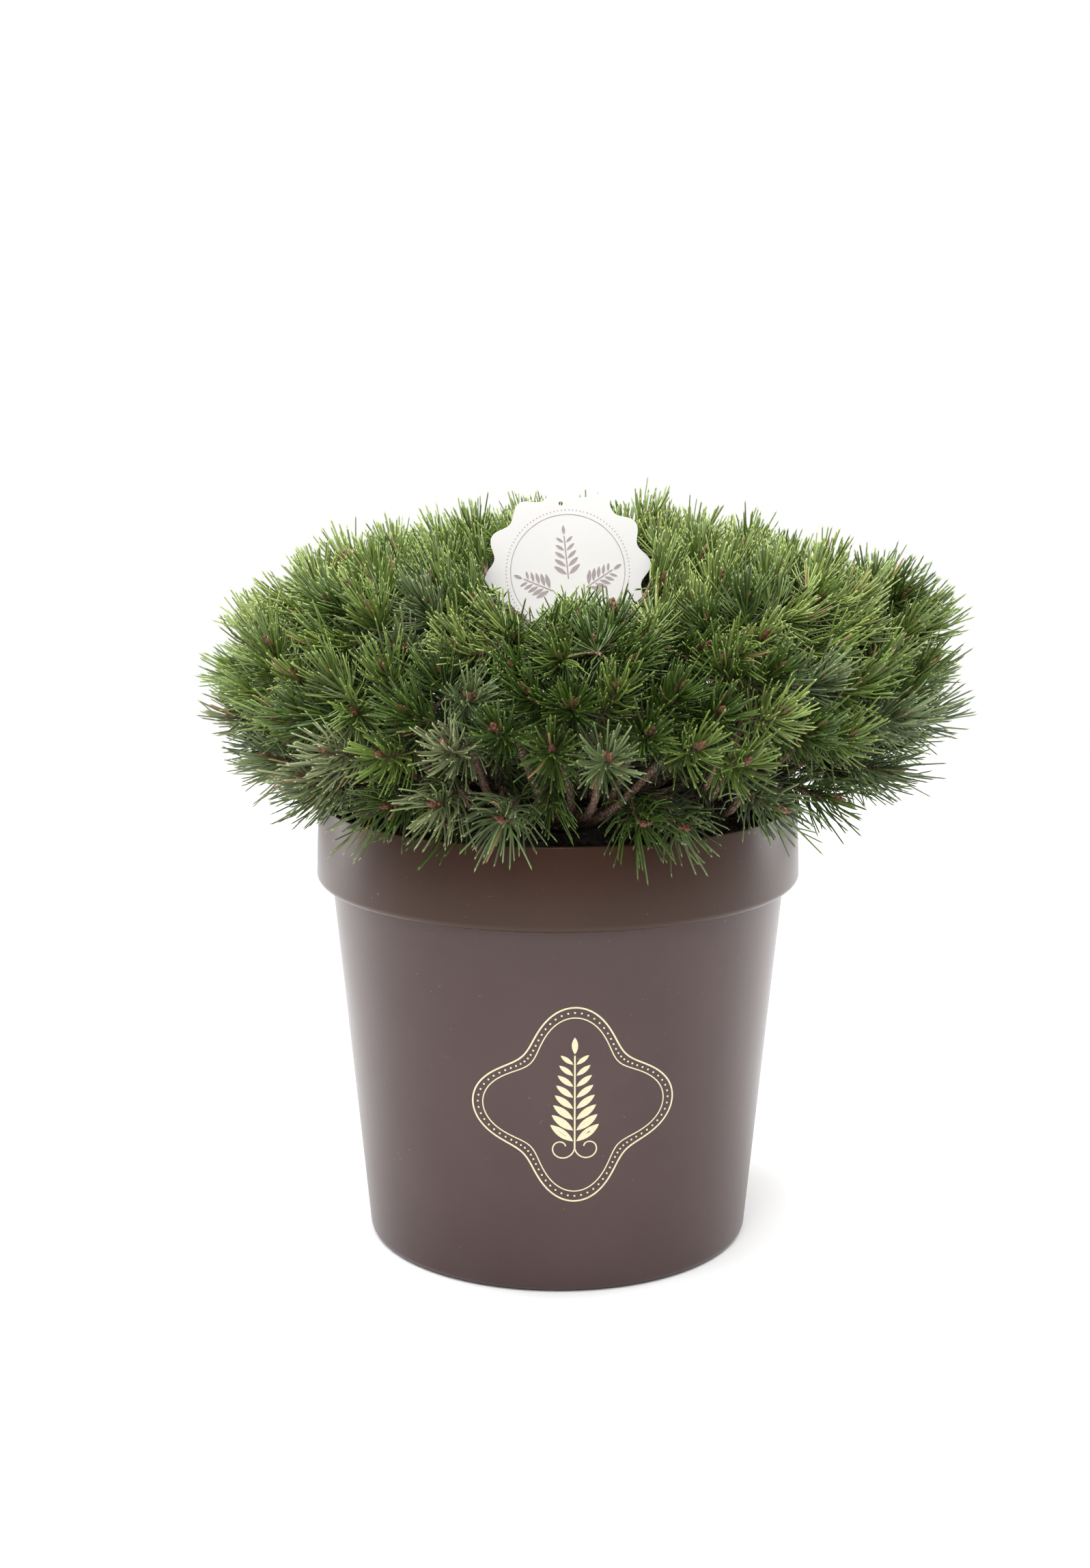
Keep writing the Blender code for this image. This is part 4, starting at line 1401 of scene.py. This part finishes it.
def outer_greens(tip, rim):
    """Weights of an outer shoot's greens, by its place and by how far it belongs to the rim's tufts."""
    height = (tip.z - POT_HEIGHT) / (CROWN_TOP - POT_HEIGHT)
    low = max(0.0, 1 - LOW_FALL * height)
    left = soft_step(tip.x, LEFT_CHANGE)
    front = soft_step(tip.y + FRONT_FROM, FRONT_CHANGE)
    parts = {
        "anywhere": 1.0,
        "top": max(0.0, height - TOP_FROM),
        "front middle": front * math.exp(-((tip.x / MIDDLE_WIDTH) ** 2)),
        "low left": low * left,
        "low right": low * (1 - left),
        "rim left": rim * left,
        "rim right": rim * (1 - left),
    }
    weights = {}
    for name, shares in OUTER_GREENS.items():
        weight = sum(share * parts[part] for part, share in shares.items())
        weights[name] = weight * (1 - LOSS_OVER_RIM.get(name, 0.0) * rim)
    weights["bright"] *= 1 - BRIGHT_LOSS_LOW * low
    return weights


def green_of(shoot, dice):
    """The green that one shoot gets, by weights that depend on its place."""
    weights = INNER_GREENS if shoot["inner"] else outer_greens(shoot["tip"], shoot["rim"])
    names = list(weights)
    shares = np.array([weights[name] for name in names])
    return names[dice.choice(len(names), p=shares / shares.sum())]


def bud_arrays(place, axis, length, radius, turn):
    """A pointed bud with rows of scales."""
    across, other = side_of(axis)
    points = []
    for ring in range(BUD_RINGS):
        share = ring / (BUD_RINGS - 1)
        swelling = math.sin(math.pi * min(1, BUD_NECK + (1 - BUD_NECK) * share))
        size = radius * (swelling**BUD_POWER + BUD_END) * BUD_SCALES[ring % 2]
        for side in range(BUD_SIDES):
            angle = turn + 2 * math.pi * (side + 0.5 * (ring % 2)) / BUD_SIDES
            points.append(place + axis * length * share + at_angle(across, other, angle) * size)
    return points, tube_triangles(BUD_RINGS, BUD_SIDES)


def grow_buds(pile, shoot, rng):
    """One bud at the shoot's tip, with some smaller ones round it."""
    tip, along = shoot["tip"], shoot["axis"]
    length = BUD_LENGTH * rng.uniform(*BUD_SIZE)
    pile.add(*bud_arrays(tip, along, length, BUD_RADIUS, rng.random()))
    across, other = side_of(along)
    for index in range(rng.randint(0, SIDE_BUDS)):
        angle = SIDE_BUD_TURN * index + rng.uniform(0, 1)
        around = at_angle(across, other, angle)
        axis = (along + around * SIDE_BUD_LEAN).normalized()
        place = tip + around * BUD_RADIUS * SIDE_BUD_OUT - along * SIDE_BUD_BACK
        length, radius = BUD_LENGTH * SIDE_BUD_LENGTH, BUD_RADIUS * SIDE_BUD_RADIUS
        pile.add(*bud_arrays(place, axis, length, radius, angle))


def plan_shoot(low, site, inner, rng):
    """A shoot's curve from its fork to its tip, and how full it is."""
    outward = (site - CROWN_MIDDLE).normalized()
    onward = (site - low).normalized() * SHOOT_ONWARD
    wander = Vector([rng.uniform(-1, 1) for _ in range(3)]) * SHOOT_WANDER
    height = min(max((site.z - LOWEST_SHOOT) / (CROWN_TOP - LOWEST_SHOOT), 0), 1)
    upturn = SHOOT_UPTURN[0] + (SHOOT_UPTURN[1] - SHOOT_UPTURN[0]) * height**UPTURN_POWER
    axis = (outward + onward + UP * upturn + wander).normalized()
    tip = site - axis * rng.uniform(*SHOOT_DEPTH)
    length = (tip - low).length
    rim = 0.0 if inner else over_rim(site)
    return {
        "low": low,
        "pull": tip - axis * min(length / 2, SHOOT_PULL),
        "tip": tip,
        "axis": axis,
        "length": length,
        "inner": inner,
        "rim": rim,
        "fullness": INNER_FULLNESS if inner else 1 - RIM_TUFT_FEWER * rim,
        "vigour": rng.uniform(*SHOOT_VIGOUR) * (1 + RIM_TUFT_LONGER * rim),
    }


def bare_stem(pile, plan, end, rng):
    """A bare stem that leaves the bough, runs low over the soil and rises to a shoot's foot."""
    share = rng.uniform(*BARE_STEM_FOOT)
    start = plan["path"][round(share * (len(plan["path"]) - 1))]
    outward = Vector((end.x, end.y, 0)).normalized()
    low = outward * rng.uniform(*BARE_STEM_REACH)
    low += outward.cross(UP) * rng.uniform(-1, 1) * BARE_STEM_SWAY
    low.z = GROUND + rng.uniform(*BARE_STEM_LOW)
    first_pull, last_pull = BARE_STEM_PULL
    path = bezier(start, start.lerp(low, first_pull), low.lerp(end, last_pull), end, BARE_STEM_POINTS)
    steps = len(path) - 1
    first, last = BARE_STEM_RADIUS
    radii = [first + (last - first) * step / steps for step in range(len(path))]
    path, radii = resampled(path, radii, BARK_STEP)
    limb(pile, path, radii, BARE_STEM_SIDES, TWIG_PLATE, STEM_RISE)


def heart_of(plan):
    """The point inside a mass at which its stem ends and its twigs begin."""
    reach = crown_radius(plan["direction"])
    depth = max(reach * (1 - CORE_MIDDLE_SHARE), HEART_DEPTH)
    return CROWN_MIDDLE + plan["direction"] * (reach - depth)


def grow_stem(pile, plan, heart):
    """The one stem of a mass, from just inside the bough's tip to the heart."""
    tip, before = plan["path"][-1], plan["path"][-2]
    along = (tip - before).normalized()
    path = [tip - along * BOUGH_SUNK, tip + along * BOUGH_FOOT, heart]
    radii = [plan["radii"][-1] * share for share in STEM_TAPER]
    path, radii = resampled(path, radii, STEM_STEP)
    limb(pile, path, radii, STEM_SIDES, STEM_PLATE, STEM_RISE)


def grow_bare_stems(pile, plan, sites, rng):
    """Bare stems to the lowest sites of a skirt mass, and the shoots on their ends."""
    shoots = []
    for site in sites:
        low = site - (site - CROWN_MIDDLE).normalized() * BARE_SHOOT
        bare_stem(pile, plan, low, rng)
        shoots.append((low, site, BARE_STEM_RADIUS[1]))
    return shoots


def grow_shoot(needles, piles, shoot, radius, stretches, rng, dice):
    """One shoot with its needles, its twig and its buds, unless hardly a needle fits."""
    start, bend, end, sideways = grow_needles(shoot, stretches, dice)
    if not len(start):
        return
    count = max(3, round(shoot["length"] / TWIG_STEP))
    points, _ = shoot_points(shoot, np.linspace(0, 1, count))
    radii = np.linspace(max(radius, SHOOT_RADIUS), SHOOT_RADIUS, count)
    path = [Vector(point) for point in points]
    limb(piles["twigs"], path, radii, TWIG_SIDES, TWIG_PLATE, SHOOT_RISE)
    if not shoot["inner"] and shoot["kept"] > BUD_NEEDLES:
        grow_buds(piles["buds"], shoot, rng)
    rings = INNER_RINGS if shoot["inner"] else NEEDLE_RINGS
    points, triangles, at_tip = needle_arrays(start, bend, end, sideways, rings)
    first_slot = TONES * list(GREENS).index(green_of(shoot, dice))
    # Some needles take the darker copy of their green: painted shade
    body_slots = first_slot + (dice.random(len(start)) < PAINTED_SHADE_SHARE)
    slots = np.where(at_tip[None], first_slot + TONES - 1, body_slots[:, None])
    slots[dice.random(len(start)) < DRY_SHARE] = TONES * len(GREENS)
    needles.add(points, triangles, slots.ravel())


def grow_mass(plan, candidates, stretches, piles, finishes, rng, dice):
    """One mass: its stem, its bare stems over the rim, and its twigs with their shoots."""
    heart = heart_of(plan)
    outer = spread_sites(plan, candidates["outer"], OUTER_SPACING)
    inner = []
    for layer in candidates["inner"]:
        inner += spread_sites(plan, layer, INNER_SPACING)
    inner_tips = {tuple(site) for site in inner}
    grow_stem(piles["stems"], plan, heart)
    long_shoots = []
    if plan["ring"] == "skirt":
        outer.sort(key=lambda site: site.z)
        long_shoots = grow_bare_stems(piles["stems"], plan, outer[:BARE_STEMS], rng)
        outer = outer[BARE_STEMS:]
    twigs, shoots = branch(heart, outer + inner, TWIG_RADIUS)
    for low, high, radius in twigs:
        path, radii = resampled([low, high], [radius, radius * TWIG_TAPER], TWIG_STEP)
        limb(piles["twigs"], path, radii, TWIG_SIDES, TWIG_PLATE, TWIG_RISE)
    needles = Pile()
    for low, site, radius in shoots + long_shoots:
        shoot = plan_shoot(low, site, tuple(site) in inner_tips, rng)
        grow_shoot(needles, piles, shoot, radius, stretches, rng, dice)
    piece = needles.piece("needles_" + plan["name"], finishes["needles"], "needles")
    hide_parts("mass_" + plan["name"])


def make_crown(finishes, rng, dice):
    """Boughs with bark, and all that grows on them."""
    plans = plan_masses()
    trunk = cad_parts["trunk"].data
    trunk_tree = BVHTree.FromPolygons(
        [vert.co for vert in trunk.vertices], [face.vertices for face in trunk.polygons],
    )
    for plan in plans:
        plan_bough(plan, trunk_tree)
        pile = Pile()
        path, radii = resampled(plan["path"], plan["radii"], BARK_STEP)
        limb(pile, path, radii, BARK_SIDES, PLATE_SIZE, PLATE_RISE)
        bough = pile.piece("bark_bough_" + plan["name"], [finishes["bark"]], "bark")
        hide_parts("bough_" + plan["name"])
    candidates = {
        "outer": dome_candidates(0.0),
        "inner": [dome_candidates(depth) for depth in INNER_DEPTHS],
    }
    stretches = bough_stretches(plans)
    piles = {"stems": Pile(), "twigs": Pile(), "buds": Pile()}
    for plan in plans:
        grow_mass(plan, candidates, stretches, piles, finishes, rng, dice)
    piles["stems"].piece("bare_stems", [finishes["twigs"]], "bark")
    piles["twigs"].piece("twigs", [finishes["twigs"]], "bark")
    piles["buds"].piece("buds", [finishes["buds"]], "bark", smooth=False)


# Label


def label_outline():
    """The card's scalloped edge, and the stake with its point below it."""
    half = STAKE_WIDTH / 2
    length = (LABEL_MIDDLE.z - GROUND + STAKE_IN_SOIL) / math.cos(math.radians(LABEL_ROLL))
    foot_angle = math.asin(half / (LABEL_RADIUS + LABEL_SCALLOP))
    steps = LABEL_SCALLOPS * SCALLOP_STEPS
    outline = []
    for step in range(steps + 1):
        angle = -math.pi / 2 + foot_angle + (2 * math.pi - 2 * foot_angle) * step / steps
        radius = LABEL_RADIUS + LABEL_SCALLOP * math.cos(LABEL_SCALLOPS * angle)
        outline.append(on_circle((0, 0), radius, angle))
    return outline + [(-half, STAKE_POINT - length), (0, -length), (half, STAKE_POINT - length)]


def make_label(finish):
    """A round white card with a scalloped edge, a small hole and a pointed stake."""
    hole_middle = (0, LABEL_RADIUS - LABEL_HOLE_INSET)
    hole = disc_outline(hole_middle, LABEL_HOLE_RADIUS, LABEL_HOLE_SIDES)
    bm = bmesh.new()
    edges = []
    for loop in (label_outline(), hole):
        verts = [bm.verts.new((x, -LABEL_THICKNESS / 2, z)) for x, z in loop]
        edges += [bm.edges.new((verts[index - 1], verts[index])) for index in range(len(verts))]
    filled = bmesh.ops.triangle_fill(bm, edges=edges, use_beauty=True)["geom"]
    faces = [part for part in filled if isinstance(part, bmesh.types.BMFace)]
    pushed = bmesh.ops.extrude_face_region(bm, geom=faces)["geom"]
    moved = [part for part in pushed if isinstance(part, bmesh.types.BMVert)]
    bmesh.ops.translate(bm, verts=moved, vec=(0, LABEL_THICKNESS, 0))
    bmesh.ops.transform(bm, matrix=label_matrix(), verts=bm.verts)
    label = object_of("label_card", bm, finish, LABEL_SHARP)
    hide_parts("label")


def print_label(finish):
    """A ring, dots and three sprigs, printed on the card."""
    pile = Pile()
    ring = disc_outline((0, 0), LABEL_RING, LABEL_RING_SIDES)
    draw_line(pile, ring, LABEL_LINE, on_card, INK_RISE, closed=True)
    for dot in disc_outline((0, 0), LABEL_DOTS, LABEL_DOT_COUNT):
        draw_blob(pile, disc_outline(dot, LABEL_DOT_RADIUS, DOT_SIDES), on_card, INK_RISE)
    for lean, foot, height in SPRIG_FAN:
        surface = leaning(lean)
        draw_sprig(pile, (0, foot), height, SPRIG_PAIRS, SPRIG_LEAF, SPRIG_LINE, surface, INK_RISE)
    pile.piece("label_print", [finish], "label_white", smooth=False)


# Stage


def make_stage():
    """A pale floor, soft light from above, the front and both sides, and the photo's camera."""
    make_floor()
    for name, box in SOFTBOXES.items():
        add_softbox(name, *box)
    light_world()
    add_camera()
    bpy.context.scene.view_settings.view_transform = "Standard"


def make_floor():
    """A round floor, attached to no body. A round floor, left out of the export."""
    bm = bmesh.new()
    bmesh.ops.create_circle(bm, cap_ends=True, segments=FLOOR_SIDES, radius=FLOOR_RADIUS)
    mesh = bpy.data.meshes.new("floor")
    bm.to_mesh(mesh)
    bm.free()
    mesh.materials.append(floor_finish())
    floor = bpy.data.objects.new("floor", mesh)
    bpy.context.scene.collection.objects.link(floor)


def add_camera():
    """The camera that sees the object as the photo does."""
    lens = bpy.data.cameras.new("camera")
    lens.lens = LENS
    lens.sensor_width = SENSOR
    camera = bpy.data.objects.new("camera", lens)
    camera.location = CAMERA_PLACE
    camera.rotation_euler = (math.radians(90 - CAMERA_DOWN), 0, math.radians(CAMERA_TURN))
    bpy.context.scene.collection.objects.link(camera)
    bpy.context.scene.camera = camera


def add_softbox(name, place, target, size, power):
    """A rectangular lamp that faces its target."""
    lamp = bpy.data.lights.new(name, "AREA")
    lamp.shape = "RECTANGLE"
    lamp.size, lamp.size_y = size
    lamp.energy = power
    box = bpy.data.objects.new(name, lamp)
    box.location = place
    box.rotation_euler = (Vector(target) - Vector(place)).to_track_quat("-Z", "Y").to_euler()
    bpy.context.scene.collection.objects.link(box)


def light_world():
    """A white studio that lights less from the front; the backdrop is white from all sides."""
    world = bpy.data.worlds.new("studio")
    bpy.context.scene.world = world
    world.use_nodes = True
    studio = Nodes(world.node_tree)
    direction = studio.node("ShaderNodeTexCoord", output="Generated")
    backwards = studio.node("ShaderNodeSeparateXYZ", None, {0: direction}, "Y")
    light = studio.node("ShaderNodeMapRange", None, {"Value": backwards, **SURROUNDINGS})
    strength = light.at_least(studio.node("ShaderNodeLightPath", output="Is Camera Ray"))
    background = world.node_tree.nodes["Background"]
    background.inputs["Color"].default_value = (1.0, 1.0, 1.0, 1.0)
    world.node_tree.links.new(strength.output, background.inputs["Strength"])


def main():
    rng = random.Random(SEED)
    dice = np.random.default_rng(SEED)
    finishes = {
        "bark": bark_finish("bark", 240, (0.36, 0.265, 0.205), (0.060, 0.038, 0.027)),
        "twigs": bark_finish("twig_bark", 420, (0.34, 0.235, 0.165), (0.065, 0.040, 0.026)),
        "buds": bud_finish(),
        "needles": needle_finishes(),
    }
    make_stage()
    make_pot(pot_plastic())
    make_ornament(ink("pot_ink", (0.72, 0.64, 0.42), roughness=0.45))
    make_soil(soil_finish())
    make_crumbs(crumb_finish(), rng)
    make_trunk(finishes["bark"])
    make_label(card_finish())
    print_label(ink("label_ink", (0.50, 0.42, 0.445), roughness=0.5))
    make_crown(finishes, rng, dice)


main()
